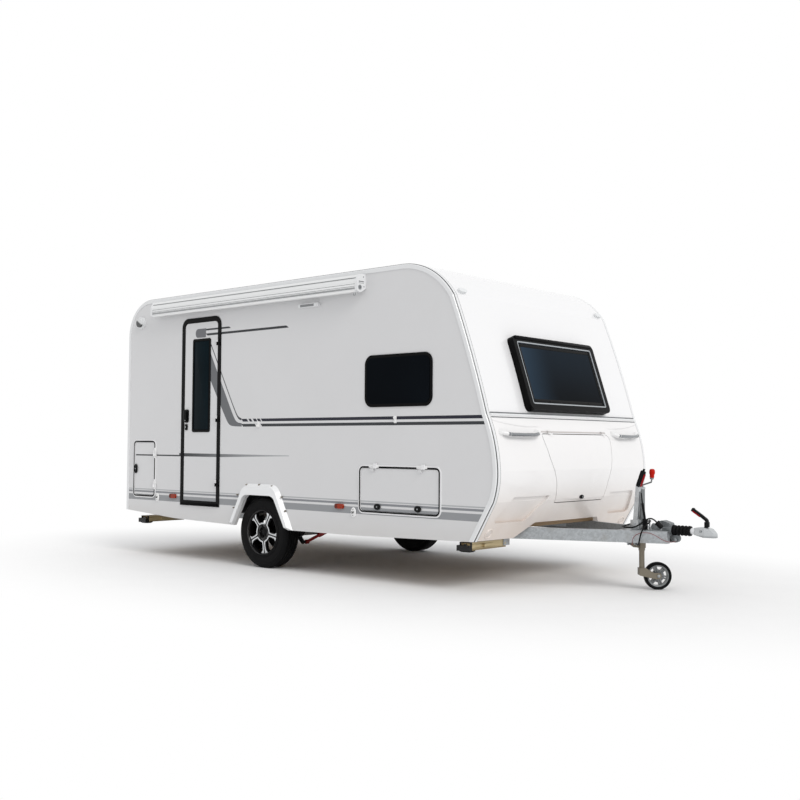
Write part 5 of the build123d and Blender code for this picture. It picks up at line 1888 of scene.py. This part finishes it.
    def handles(self) -> None:
        """Replace the pull handles by bowed grips with moulded white feet."""
        made = []
        for side in Side:
            s = side.value
            (y0, y1), z = self.handle_ends, self.handle_z
            x0, x1 = self.face_x(y0, z), self.face_x(y1, z)
            key = side.name.lower()
            feet = Work()
            for x, y, inward in ((x0, y0, 1), (x1, y1, -1)):
                feet.turned(
                    at(x - 0.004, s * y, z),
                    Vector((1.0, 0.0, 0.06)),
                    [
                        (0.0, 0.0), (0.029, 0.0), (0.028, 0.008), (0.021, 0.016), (0.015, 0.027),
                        (0.0, 0.030)
                    ],
                    32,
                )
                feet.tube(
                    [
                        at(x + 0.012, s * y, z),
                        at(x + 0.028, s * (y + inward * 0.010), z - 0.001),
                        at(x + 0.041, s * (y + inward * 0.034), z - 0.006),
                        at(x + 0.047, s * (y + inward * 0.062), z - 0.011),
                    ],
                    0.0155,
                    16,
                )
            made.append(self.fit(feet, f"handle_feet_{key}", "root", "handle_white", "trim_white"))
            grip = Work()
            grip.tube(
                [
                    at(x0 + 0.036, s * (y0 + 0.026), z - 0.004),
                    at(x0 + 0.046, s * (y0 + 0.056), z - 0.010),
                    at(x0 + 0.050, s * (y0 + 0.100), z - 0.013),
                    at((x0 + x1) / 2 + 0.053, s * (y0 + y1) / 2, z - 0.014),
                    at(x1 + 0.050, s * (y1 - 0.100), z - 0.013),
                    at(x1 + 0.046, s * (y1 - 0.056), z - 0.010),
                    at(x1 + 0.036, s * (y1 - 0.026), z - 0.004),
                ],
                0.0140,
                20,
            )
            made.append(
                self.fit(grip, f"handle_grip_{key}", "root", "handle_silver", "grip_silver")
            )
        for piece in made:
            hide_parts("grab_handles")

    def build(self) -> None:
        """Fit everything on the nose."""
        self.window()
        self.waist()
        self.latch()
        self.recesses()
        self.handles()


@dataclass
class RoadWheel(Assembly):
    """Tyre and black alloy rim with bright faced twin spokes."""

    side: Side
    radius: float = 0.3245
    face: float = 1.130
    width: float = 0.185
    rim: float = 0.205
    spokes: int = 5
    lean: float = 8.0

    def hub(self, out: float) -> Vector:
        """Point on the wheel's axis at a width."""
        return at(0.0, self.side.value * out, self.radius)

    def along(self) -> Vector:
        """Outward direction of the wheel's axis."""
        return Vector((0.0, float(self.side.value), 0.0))

    def tyre(self) -> None:
        """Spin the tyre with its tread grooves and rounded side."""
        r, w = self.radius, self.width
        profile = [(0.196, -0.012), (0.202, -0.002), (0.214, -0.003), (0.217, 0.000),
                   (0.226, -0.0005),
                   (0.229, -0.004), (
                       0.262, -0.0005
                   ), (0.284, -0.003), (0.287, -0.001), (0.292, -0.003),
                   (0.304, -0.008), (0.314, -0.014), (0.320, -0.021), (r - 0.001, -0.030)]
        for groove in (0.046, 0.078, 0.107, 0.139):
            profile += [
                (r, -groove + 0.005),
                (r - 0.0075, -groove + 0.0035),
                (r - 0.0075, -groove - 0.0035),
                (r, -groove - 0.005),
            ]
        back = [(radius, -w - along) for radius, along in profile[13::-1]]
        profile += back
        profile += [(0.188, -w + 0.016), (0.188, -0.016)]
        work = Work()
        work.turned(self.hub(self.face), self.along(), profile, 96)
        made = self.fit(
            work, f"tyre_{self.side.name.lower()}_dressed", self.body(), "tyre_black", "tyre_black",
            32.0
        )
        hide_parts(f"tyre_{self.side.name.lower()}")

    def body(self) -> str:
        """Name of the wheel's body."""
        return "right_wheel" if self.side is Side.RIGHT else "left_wheel"

    def spread(
        self, work: Work, outline: list[tuple[float, float]], low: float, high: float, bevel: float
    ) -> None:
        """Add one plate of each spoke, drawn as (outward, across) on the wheel.

        Args:
            work: the piece to add to.
            outline: corners in one spoke's own directions.
            low: width of the plate's back.
            high: width of its face.
            bevel: radius of its edges.
        """
        for index in range(self.spokes):
            angle = math.radians(-90 + self.lean + index * 360 / self.spokes)
            reach = Vector((math.cos(angle), 0.0, math.sin(angle)))
            cross = Vector((-math.sin(angle), 0.0, math.cos(angle)))
            corners = [self.hub(low) + reach * u + cross * v for u, v in outline]
            work.plate(corners, self.along() * (high - low), bevel, 2)

    def rim_parts(self) -> None:
        """Build the barrel, spokes, bright faces, cap, bolts and valve."""
        key = self.side.name.lower()
        face = self.face
        black = "alloy_black"
        barrel = Work()
        barrel.turned(
            self.hub(face),
            self.along(),
            [(0.2045, -0.006), (0.2035, 0.0), (0.199, 0.0015), (0.194, -0.004), (0.190, -0.014),
             (0.186, -0.040),
             (0.178, -0.090), (0.178, -0.150), (0.196, -0.172), (0.2045, -0.174), (0.2045, -0.166),
             (0.188, -0.146), (0.186, -0.095), (0.194, -0.045), (0.199, -0.015)],
            72,
        )
        made = [self.fit(barrel, f"rim_barrel_{key}", self.body(), black, "alloy")]
        spoke = [(0.050, 0.030), (0.050, -0.030), (0.088, -0.026), (0.160, -0.026), (0.191, -0.046),
                 (0.191, 0.046), (0.160, 0.026), (0.088, 0.026)]
        bodies = Work()
        self.spread(bodies, spoke, face - 0.052, face - 0.0165, 0.004)
        bodies.turned(
            self.hub(face),
            self.along(),
            [(0.020, -0.070), (0.080, -0.066), (0.086, -0.050), (0.082, -0.022), (0.060, -0.024),
             (0.052, -0.034), (0.034, -0.034), (0.020, -0.030)],
            60,
        )
        made.append(self.fit(bodies, f"rim_spokes_{key}", self.body(), black, "alloy"))
        bright = Work()
        for s in (1, -1):
            strip = [(0.076, s * 0.0275), (0.078, s * 0.0105), (0.096, s * 0.0062),
                     (0.150, s * 0.0062),
                     (
                         0.1885, s * 0.0070
                     ), (0.1880, s * 0.0430), (0.178, s * 0.0380), (0.160, s * 0.0200),
                     (0.120, s * 0.0165), (0.098, s * 0.0190)]
            if s < 0:
                strip.reverse()
            self.spread(bright, strip, face - 0.0168, face - 0.0125, 0.0010)
        for index in range(self.spokes):
            middle = math.radians(-90 + self.lean + (index + 0.5) * 360 / self.spokes)
            arc = []
            for share in range(7):
                turn = middle + math.radians(-19 + share * 38 / 6)
                arc.append((0.0905, turn))
            for share in range(7):
                turn = middle + math.radians(19 - share * 38 / 6)
                arc.append((0.0775, turn))
            corners = [
                self.hub(face - 0.0168) + Vector(
                    (math.cos(t), 0.0, math.sin(t))
                ) * r for r, t in arc
            ]
            bright.plate(corners, self.along() * 0.0043, 0.0008, 2)
        made.append(self.fit(bright, f"rim_bright_{key}", self.body(), "alloy_bright", "alloy"))
        cap = Work()
        cap.turned(
            self.hub(face - 0.034),
            self.along(),
            [(0.0, 0.012), (0.022, 0.0105), (0.029, 0.006), (0.031, 0.0), (0.0, -0.002)],
            40,
        )
        made.append(self.fit(cap, f"rim_cap_{key}", self.body(), "plastic_black", "black_plastic"))
        bolts = Work()
        for index in range(5):
            angle = math.radians(-54 + self.lean + index * 72)
            spot = self.hub(face - 0.034) + Vector((math.cos(angle), 0, math.sin(angle))) * 0.044
            bolts.rod(spot, spot + self.along() * 0.012, 0.0095, 0.0085, 6, 0.0012)
        made.append(self.fit(bolts, f"rim_bolts_{key}", self.body(), "brake_black", "zinc"))
        valve = Work()
        angle = math.radians(-54 + self.lean + 72)
        out = Vector((math.cos(angle), 0, math.sin(angle)))
        valve.rod(
            self.hub(face - 0.024) + out * 0.176, self.hub(face - 0.004) + out * 0.170, 0.0040,
            None, 14, 0.0008
        )
        made.append(
            self.fit(valve, f"tyre_valve_{key}", self.body(), "rubber_black", "rubber_black")
        )
        for piece in made:
            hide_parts(f"rim_{key}")

    def shield(self) -> None:
        """Set the dark dust shield behind the spokes."""
        work = Work()
        work.turned(
            self.hub(0.918),
            self.along(),
            [
                (0.112, -0.004), (0.164, -0.004), (0.168, 0.002), (0.168, 0.010), (0.164, 0.010),
                (0.162, 0.0), (0.112, 0.0)
            ],
            60,
        )
        name = f"brake_shield_{self.side.name.lower()}"
        self.fit(work, name, "root", "brake_black", "brake_black")

    def build(self) -> None:
        """Build the whole wheel."""
        self.shield()
        self.tyre()
        self.rim_parts()


@dataclass
class Coupling(Assembly):
    """Grips, inlays, bolts and boots round the tow coupling and the handbrake."""

    grip_foot: Point = (3.297, -0.080, 0.826)
    grip_top: Point = (3.338, -0.080, 0.936)
    release_foot: Point = (3.784, 0, 0.6138)
    release_top: Point = (3.730, 0, 0.6482)
    knob_foot: Point = (3.371, 0, 0.890)
    shaft_z: float = 0.487
    housing_bolts: Spots = (
        (3.412, 0.098),
        (3.486, 0.072),
        (3.412, -0.098),
        (3.486, -0.072),
    )
    bands: Spots = ((3.5605, 0.0385), (3.7020, 0.0355))

    def grip(self) -> None:
        """Sleeve the handbrake lever in its black grip with a red front."""
        low, high = at(*self.grip_foot), at(*self.grip_top)
        way = (high - low).normalized()
        fore = Vector((way.z, 0.0, -way.x))
        middle = (low + high) / 2
        turn = Matrix((fore, Vector((0, 1, 0)), way)).transposed()
        black = Work()
        black.block(middle, (0.043, 0.034, 0.138), 0.012, 4, turn)
        self.fit(black, "lever_grip", "root", "plastic_black", "black_plastic")
        red = Work()
        red.block(middle + fore * 0.0195 - way * 0.006, (0.010, 0.026, 0.104), 0.004, 3, turn)
        self.fit(red, "lever_grip_inlay", "root", "grip_red", "damper_red")
        button = Work()
        button.rod(high + way * 0.010, high + way * 0.026, 0.009, None, 20, 0.002)
        self.fit(button, "lever_button", "root", "plastic_black", "black_plastic")

    def handle(self) -> None:
        """Inlay the release handle with red and cap its end."""
        a, b = at(*self.release_foot), at(*self.release_top)
        way = (b - a).normalized()
        under = Vector((-way.z, 0.0, way.x))
        if under.z > 0:
            under = -under
        turn = Matrix((way, Vector((0, 1, 0)), way.cross(Vector((0, 1, 0))))).transposed()
        red = Work()
        red.block((a + b) / 2 + under * 0.0085, (0.076, 0.0312, 0.0120), 0.002, 2, turn)
        self.fit(red, "release_inlay", "root", "grip_red", "damper_red")
        cap = Work()
        cap.block(at(3.7225, 0, 0.6530), (0.020, 0.034, 0.030), 0.008, 4, turn)
        cap.block(at(3.836, 0, 0.545), (0.034, 0.040, 0.046), 0.010, 4)
        self.fit(cap, "release_boot", "root", "plastic_black", "black_plastic")

    def knob(self) -> None:
        """Turn the red knob of the jockey crank."""
        work = Work()
        work.turned(
            at(*self.knob_foot),
            Vector((0.05, 0, 1.0)),
            [(0.0, 0.0), (0.0160, 0.0), (0.0185, 0.004), (0.0175, 0.018), (0.0190, 0.026),
             (0.0225, 0.036),
             (0.0232, 0.050), (0.0205, 0.062), (0.0140, 0.0695), (0.0, 0.0715)],
            36,
        )
        self.fit(work, "crank_knob", "root", "knob_red", "damper_red")

    def fasteners(self) -> None:
        """Bolt the housing down and band the bellows."""
        bolts = Work()
        for x, y in self.housing_bolts:
            bolts.rod(at(x, y, 0.486), at(x, y, 0.4885), 0.016, None, 24, 0.0006)
            bolts.rod(at(x, y, 0.488), at(x, y, 0.4975), 0.0105, None, 6, 0.001)
            bolts.rod(at(x, y, 0.497), at(x, y, 0.505), 0.006, None, 16, 0.001)
        for y in (-0.040, 0.040):
            bolts.rod(at(3.800, y * 1.02, 0.492), at(3.800, y * 1.22, 0.492), 0.009, None, 6, 0.001)
        self.fit(bolts, "housing_bolts", "root", "bolt_zinc", "zinc")
        bands = Work()
        for x, r in self.bands:
            bands.turned(
                at(x, 0, self.shaft_z),
                Vector((1, 0, 0)),
                [(r, -0.0035), (r + 0.0022, -0.0030), (r + 0.0022, 0.0030), (r, 0.0035)],
                40,
            )
        self.fit(bands, "bellows_bands", "root", "rubber_black", "rubber_black")
        pin = Work()
        pin.rod(at(3.585, -0.022, 0.415), at(3.585, 0.022, 0.415), 0.0075, None, 24, 0.001)
        pin.rod(at(3.585, -0.030, 0.415), at(3.585, -0.022, 0.415), 0.014, None, 6, 0.001)
        self.fit(pin, "towing_lug_pin", "root", "bolt_zinc", "zinc")
        plates = Work()
        plates.block(at(3.269, -0.0985, 0.520), (0.070, 0.005, 0.074), 0.0015)
        plates.block(at(3.269, -0.0615, 0.520), (0.070, 0.005, 0.074), 0.0015)
        plates.rod(at(3.272, -0.108, 0.532), at(3.272, -0.052, 0.532), 0.009, None, 20, 0.001)
        self.fit(plates, "lever_cheeks", "root", "zinc_plate", "zinc")

    def build(self) -> None:
        """Fit everything round the coupling."""
        self.grip()
        self.handle()
        self.knob()
        self.fasteners()


@dataclass
class JockeyWheel(Assembly):
    """Spoked grey centre, axle nuts and clamp handle of the jockey wheel."""

    middle: Point = (3.3749, 0.0813, 0.1094)
    heading: float = 40.6
    post_x: float = 3.280
    arms: int = 6
    arm_gap: float = 0.0085
    tube_radius: float = 0.0262

    def axle(self) -> Vector:
        """Direction of the wheel's axle."""
        turn = math.radians(self.heading)
        return Vector((-math.sin(turn), math.cos(turn), 0.0))

    def wheel(self) -> None:
        """Replace the wheel by a tread ring and an open spoked centre."""
        middle, along = at(*self.middle), self.axle()
        ahead = Vector(
            (math.cos(math.radians(self.heading)), math.sin(math.radians(self.heading)), 0.0)
        )
        ring = Work()
        ring.turned(
            middle,
            along,
            [(0.085, -0.022), (0.090, -0.027), (0.100, -0.029), (0.1075, -0.024), (0.1094, -0.012),
             (0.1094, -0.005), (0.1078, -0.003), (0.1078, 0.003), (0.1094, 0.005), (0.1094, 0.012),
             (0.1075, 0.024), (0.100, 0.029), (0.090, 0.027), (0.085, 0.022)],
            64,
        )
        made = [self.fit(ring, "jockey_tread", "jockey_roller", "tyre_black", "rubber_black")]
        centre = Work()
        centre.turned(
            middle,
            along,
            [(0.0735, -0.020), (0.0855, -0.023), (0.0865, 0.0), (0.0855, 0.023), (0.0735, 0.020)],
            56,
        )
        centre.turned(
            middle,
            along,
            [
                (0.0082, -0.030), (0.020, -0.030), (0.0225, -0.026), (0.0225, 0.026),
                (0.020, 0.030), (0.0082, 0.030)
            ],
            36,
        )
        centre.turned(
            middle, along, [(0.020, -0.004), (0.051, -0.004), (0.051, 0.004), (0.020, 0.004)], 36
        )
        for index in range(self.arms):
            turn = Matrix.Rotation(math.radians(index * 360 // self.arms + 12), 3, along)
            out = turn @ ahead
            frame = Matrix((out, along, out.cross(along))).transposed()
            for shift in (-self.arm_gap, self.arm_gap):
                spot = middle + out * 0.048 + out.cross(along) * shift
                centre.block(spot, (0.058, 0.030, 0.0125), 0.0020, 2, frame)
        made.append(self.fit(centre, "jockey_centre", "jockey_roller", "jockey_grey", "zinc"))
        for piece in made:
            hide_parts("jockey_wheel")
        nuts = Work()
        for s in (-1, 1):
            nuts.rod(
                middle + along * s * 0.0395, middle + along * s * 0.0475, 0.0135, None, 6, 0.001
            )
        self.fit(nuts, "jockey_nuts", "jockey_caster", "bolt_zinc", "zinc")

    def clamp(self) -> None:
        """Clamp the leg's tube to the drawbar with its toggle handle."""
        r = self.tube_radius
        work = Work()
        work.turned(
            at(self.post_x, 0, 0.500),
            Vector((0, 0, 1)),
            [(r, -0.014), (0.033, -0.012), (0.035, 0.0), (0.033, 0.012), (r, 0.014)],
            36,
        )
        work.turned(
            at(self.post_x, 0, 0.806),
            Vector((0, 0, 1)),
            [
                (r, -0.010), (0.029, -0.008), (0.029, 0.006), (0.020, 0.012), (0.0, 0.013),
                (0.0, 0.0062), (r, 0.0062)
            ],
            36,
        )
        work.rod(at(3.300, 0.030, 0.500), at(3.318, 0.060, 0.500), 0.007, None, 16, 0.001)
        work.rod(at(3.318, 0.060, 0.476), at(3.318, 0.060, 0.556), 0.0065, None, 16, 0.0015)
        self.fit(work, "jockey_clamp", "root", "zinc_plate", "zinc")

    def build(self) -> None:
        """Build the jockey wheel's dressing."""
        self.wheel()
        self.clamp()


@dataclass
class Awning(Assembly):
    """Lead rail, grey strips of painted shade along each seam and groove, and end cap screws of the
    wall awning.
    """

    x0: float = -1.582
    x1: float = 1.283
    cap_left: float = -1.612
    cap_right: float = 1.313
    seam_heights: tuple[float, ...] = (2.4900, 2.4690, 2.4580)
    cap_screws: Spots = (
        (-1.180, 2.552),
        (-1.228, 2.470),
        (-1.172, 2.470),
    )

    def build(self) -> None:
        """Dress the awning."""
        length = self.x1 - self.x0
        middle = (self.x0 + self.x1) / 2
        # Painted shade: thin grey strips along the cassette's seam and groove lines and along its
        # joint with the wall.
        seam_shade = Work()
        seam_shade.block(at(middle, -1.2508, 2.4495), (length, 0.0030, 0.0050), 0.0010)
        seam_shade.block(
            at(middle, -1.2385, 2.5430), (length, 0.0040, 0.0045), 0.0010, 2,
            Matrix.Rotation(math.radians(-40), 3, "X")
        )
        for z in self.seam_heights:
            seam_shade.block(at(middle, -1.2517, z), (length, 0.0030, 0.0035), 0.0008)
        seam_shade.block(at(middle, -1.1530, 2.5760), (length, 0.012, 0.005), 0.0012)
        self.fit(seam_shade, "awning_seam_shade", "root", "line_grey", "awning_white")
        rail = Work()
        rail.block(at(middle, -1.2380, 2.4290), (length - 0.004, 0.0300, 0.0200), 0.0060, 3)
        rail.block(at(middle, -1.2500, 2.4780), (length - 0.004, 0.0050, 0.0420), 0.0020, 2)
        self.fit(rail, "awning_lead_rail", "root", "awning_white", "awning_white")
        screws = Work()
        for x, s in ((self.cap_left, -1), (self.cap_right, 1)):
            for y, z in self.cap_screws:
                screws.rod(
                    at(x - s * 0.001, y, z), at(x + s * 0.0022, y, z), 0.0055, None, 16, 0.0008
                )
        screws.rod(at(1.3125, -1.222, 2.462), at(1.3165, -1.222, 2.462), 0.0200, None, 28, 0.001)
        self.fit(screws, "awning_screws", "root", "bolt_zinc", "zinc")
        slot = Work()
        slot.rod(at(1.3160, -1.222, 2.462), at(1.3180, -1.222, 2.462), 0.0075, None, 20, 0.0006)
        slot.block(at(1.3135, -1.205, 2.512), (0.0022, 0.062, 0.007), 0.0008)
        slot.block(at(1.3135, -1.205, 2.498), (0.0022, 0.062, 0.003), 0.0008)
        self.fit(slot, "awning_cap_line", "root", "line_grey", "rubber_black")
        eye = Work()
        eye.tube(
            [at(1.240, -1.222, 2.422), at(1.240, -1.222, 2.404), at(1.246, -1.222, 2.396),
             at(1.254, -1.222, 2.396),
             at(1.260, -1.222, 2.404), at(1.260, -1.222, 2.422)],
            0.003,
            10,
        )
        self.fit(eye, "awning_crank_eye", "root", "bolt_zinc", "zinc")


@dataclass
class Steadies(Assembly):
    """Feet and screw sockets of the corner steadies."""

    places: tuple[tuple[str, float, int], ...] = (
        ("steady_fr", 2.360, -1),
        ("steady_fl", 2.360, 1),
        ("steady_rr", -1.860, -1),
        ("steady_rl", -1.860, 1),
    )
    foot_y: float = 1.085
    socket_y: float = 1.106
    screw_z: float = 0.360

    def build(self) -> None:
        """Fit the feet and screw sockets, with a black disc of painted shade inside each socket."""
        for body, x, s in self.places:
            foot = Work()
            foot.block(at(x, s * self.foot_y, 0.3215), (0.104, 0.078, 0.010), 0.004, 2)
            foot.block(at(x, s * self.foot_y, 0.3145), (0.090, 0.060, 0.006), 0.003, 2)
            self.fit(foot, body + "_foot", body, "rubber_black", "rubber_black")
            socket = Work()
            socket.turned(
                at(x, s * self.socket_y, self.screw_z),
                Vector((0, s, 0)),
                [
                    (0.0075, -0.002), (0.0075, 0.010), (0.0125, 0.012), (0.0165, 0.006),
                    (0.0165, -0.002)
                ],
                24,
            )
            self.fit(socket, body + "_socket", body, "bolt_zinc", "zinc")
            # Painted shade: a black disc inside the socket, where its opening lies in shade.
            hole_shade = Work()
            low, high = at(x, s * 1.104, self.screw_z), at(x, s * 1.108, self.screw_z)
            hole_shade.rod(low, high, 0.0080, None, 20, 0.0)
            self.fit(hole_shade, body + "_hole", body, "seal_black", "rubber_black")


@dataclass
class TailAndRoof(Assembly):
    """Rear lamp lenses, plate holder, reflectors, rooflight domes and rear trim."""

    lamp_y: float = 0.989
    back: float = -2.159
    lens_half: float = 0.050
    reflector: tuple[float, float] = (0.80, 0.560)
    plate_rect: Rect = (-0.270, 0.270, 0.850, 0.975)
    plate_lamp_y: float = 0.12
    rooflights: Spots = ((-0.900, 0.400), (1.000, 0.700))
    dome_foot: float = 2.6635
    dome_rise: float = 0.018
    dome_round: float = 0.045

    def lamps(self) -> None:
        """Split each rear lamp into its lenses."""
        for side in Side:
            key = side.name.lower()
            y = side.value * self.lamp_y
            for name, z, tall, finish in (
                ("stop", 0.985, 0.190, "lamp_red"),
                ("turn", 0.835, 0.086, "lamp_amber"),
                ("reverse", 0.752, 0.062, "lamp_clear"),
            ):
                lens = Work()
                lens.slab(
                    [
                        at(self.back, y + a, z + b)
                        for a, b in corners_of(-self.lens_half, self.lens_half, -tall / 2, tall / 2)
                    ],
                    0.012,
                    Vector((-0.007, 0, 0)),
                    0.0025,
                )
                self.fit(lens, f"rear_{name}_{key}", "root", finish, "lamp_red")
            disc = Work()
            disc.turned(
                at(-2.157, side.value * self.reflector[0], self.reflector[1]),
                Vector((-1, 0, 0)),
                [(0.0, 0.006), (0.034, 0.005), (0.038, 0.0), (0.0, 0.0)],
                36,
            )
            self.fit(disc, f"rear_reflector_{key}", "root", "lamp_red", "lamp_red")

    def plate(self) -> None:
        """Fit the blank plate holder with its two small lamps, and the rear waist trim."""
        holder = Work()
        holder.slab(
            [at(-2.1355, a, b) for a, b in corners_of(*self.plate_rect)],
            0.010,
            Vector((-0.010, 0, 0)),
            0.003,
        )
        for y in (-self.plate_lamp_y, self.plate_lamp_y):
            holder.block(at(-2.145, y, 0.993), (0.024, 0.070, 0.022), 0.005)
        self.fit(holder, "plate_holder", "root", "plastic_black", "black_plastic")
        rail = Work()
        rail.block(at(-2.1385, 0, 0.640), (0.010, 2.190, 0.022), 0.003)
        self.fit(rail, "rear_waist_trim", "root", "trim_white", "trim_white")

    def roof(self) -> None:
        """Dome the two rooflights."""
        for index, (x, size) in enumerate(self.rooflights):
            half = size / 2 + 0.012
            dome = Work()
            dome.slab(
                [at(x + a * half, b * half, self.dome_foot) for a, b in corners_of(-1, 1, -1, 1)],
                self.dome_round,
                Vector((0, 0, self.dome_rise)),
                0.014,
                4,
            )
            self.fit(dome, f"rooflight_dome_{index}", "root", "dome_smoke", "lamp_clear")

    def build(self) -> None:
        """Dress the tail and the roof."""
        self.lamps()
        self.plate()
        self.roof()


def main() -> None:
    """Dress the frame."""
    logging.basicConfig(level=logging.INFO, format="%(message)s")
    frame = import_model()
    finishes = Finishes()
    Studio().build()
    Cords(finishes).build()
    FrameDress(finishes).build(frame["nodes"])
    RightSide(finishes).build()
    Nose(finishes).build()
    for side in Side:
        RoadWheel(finishes, side).build()
    Coupling(finishes).build()
    JockeyWheel(finishes).build()
    Awning(finishes).build()
    Steadies(finishes).build()
    TailAndRoof(finishes).build()


if __name__ == "__main__":
    main()
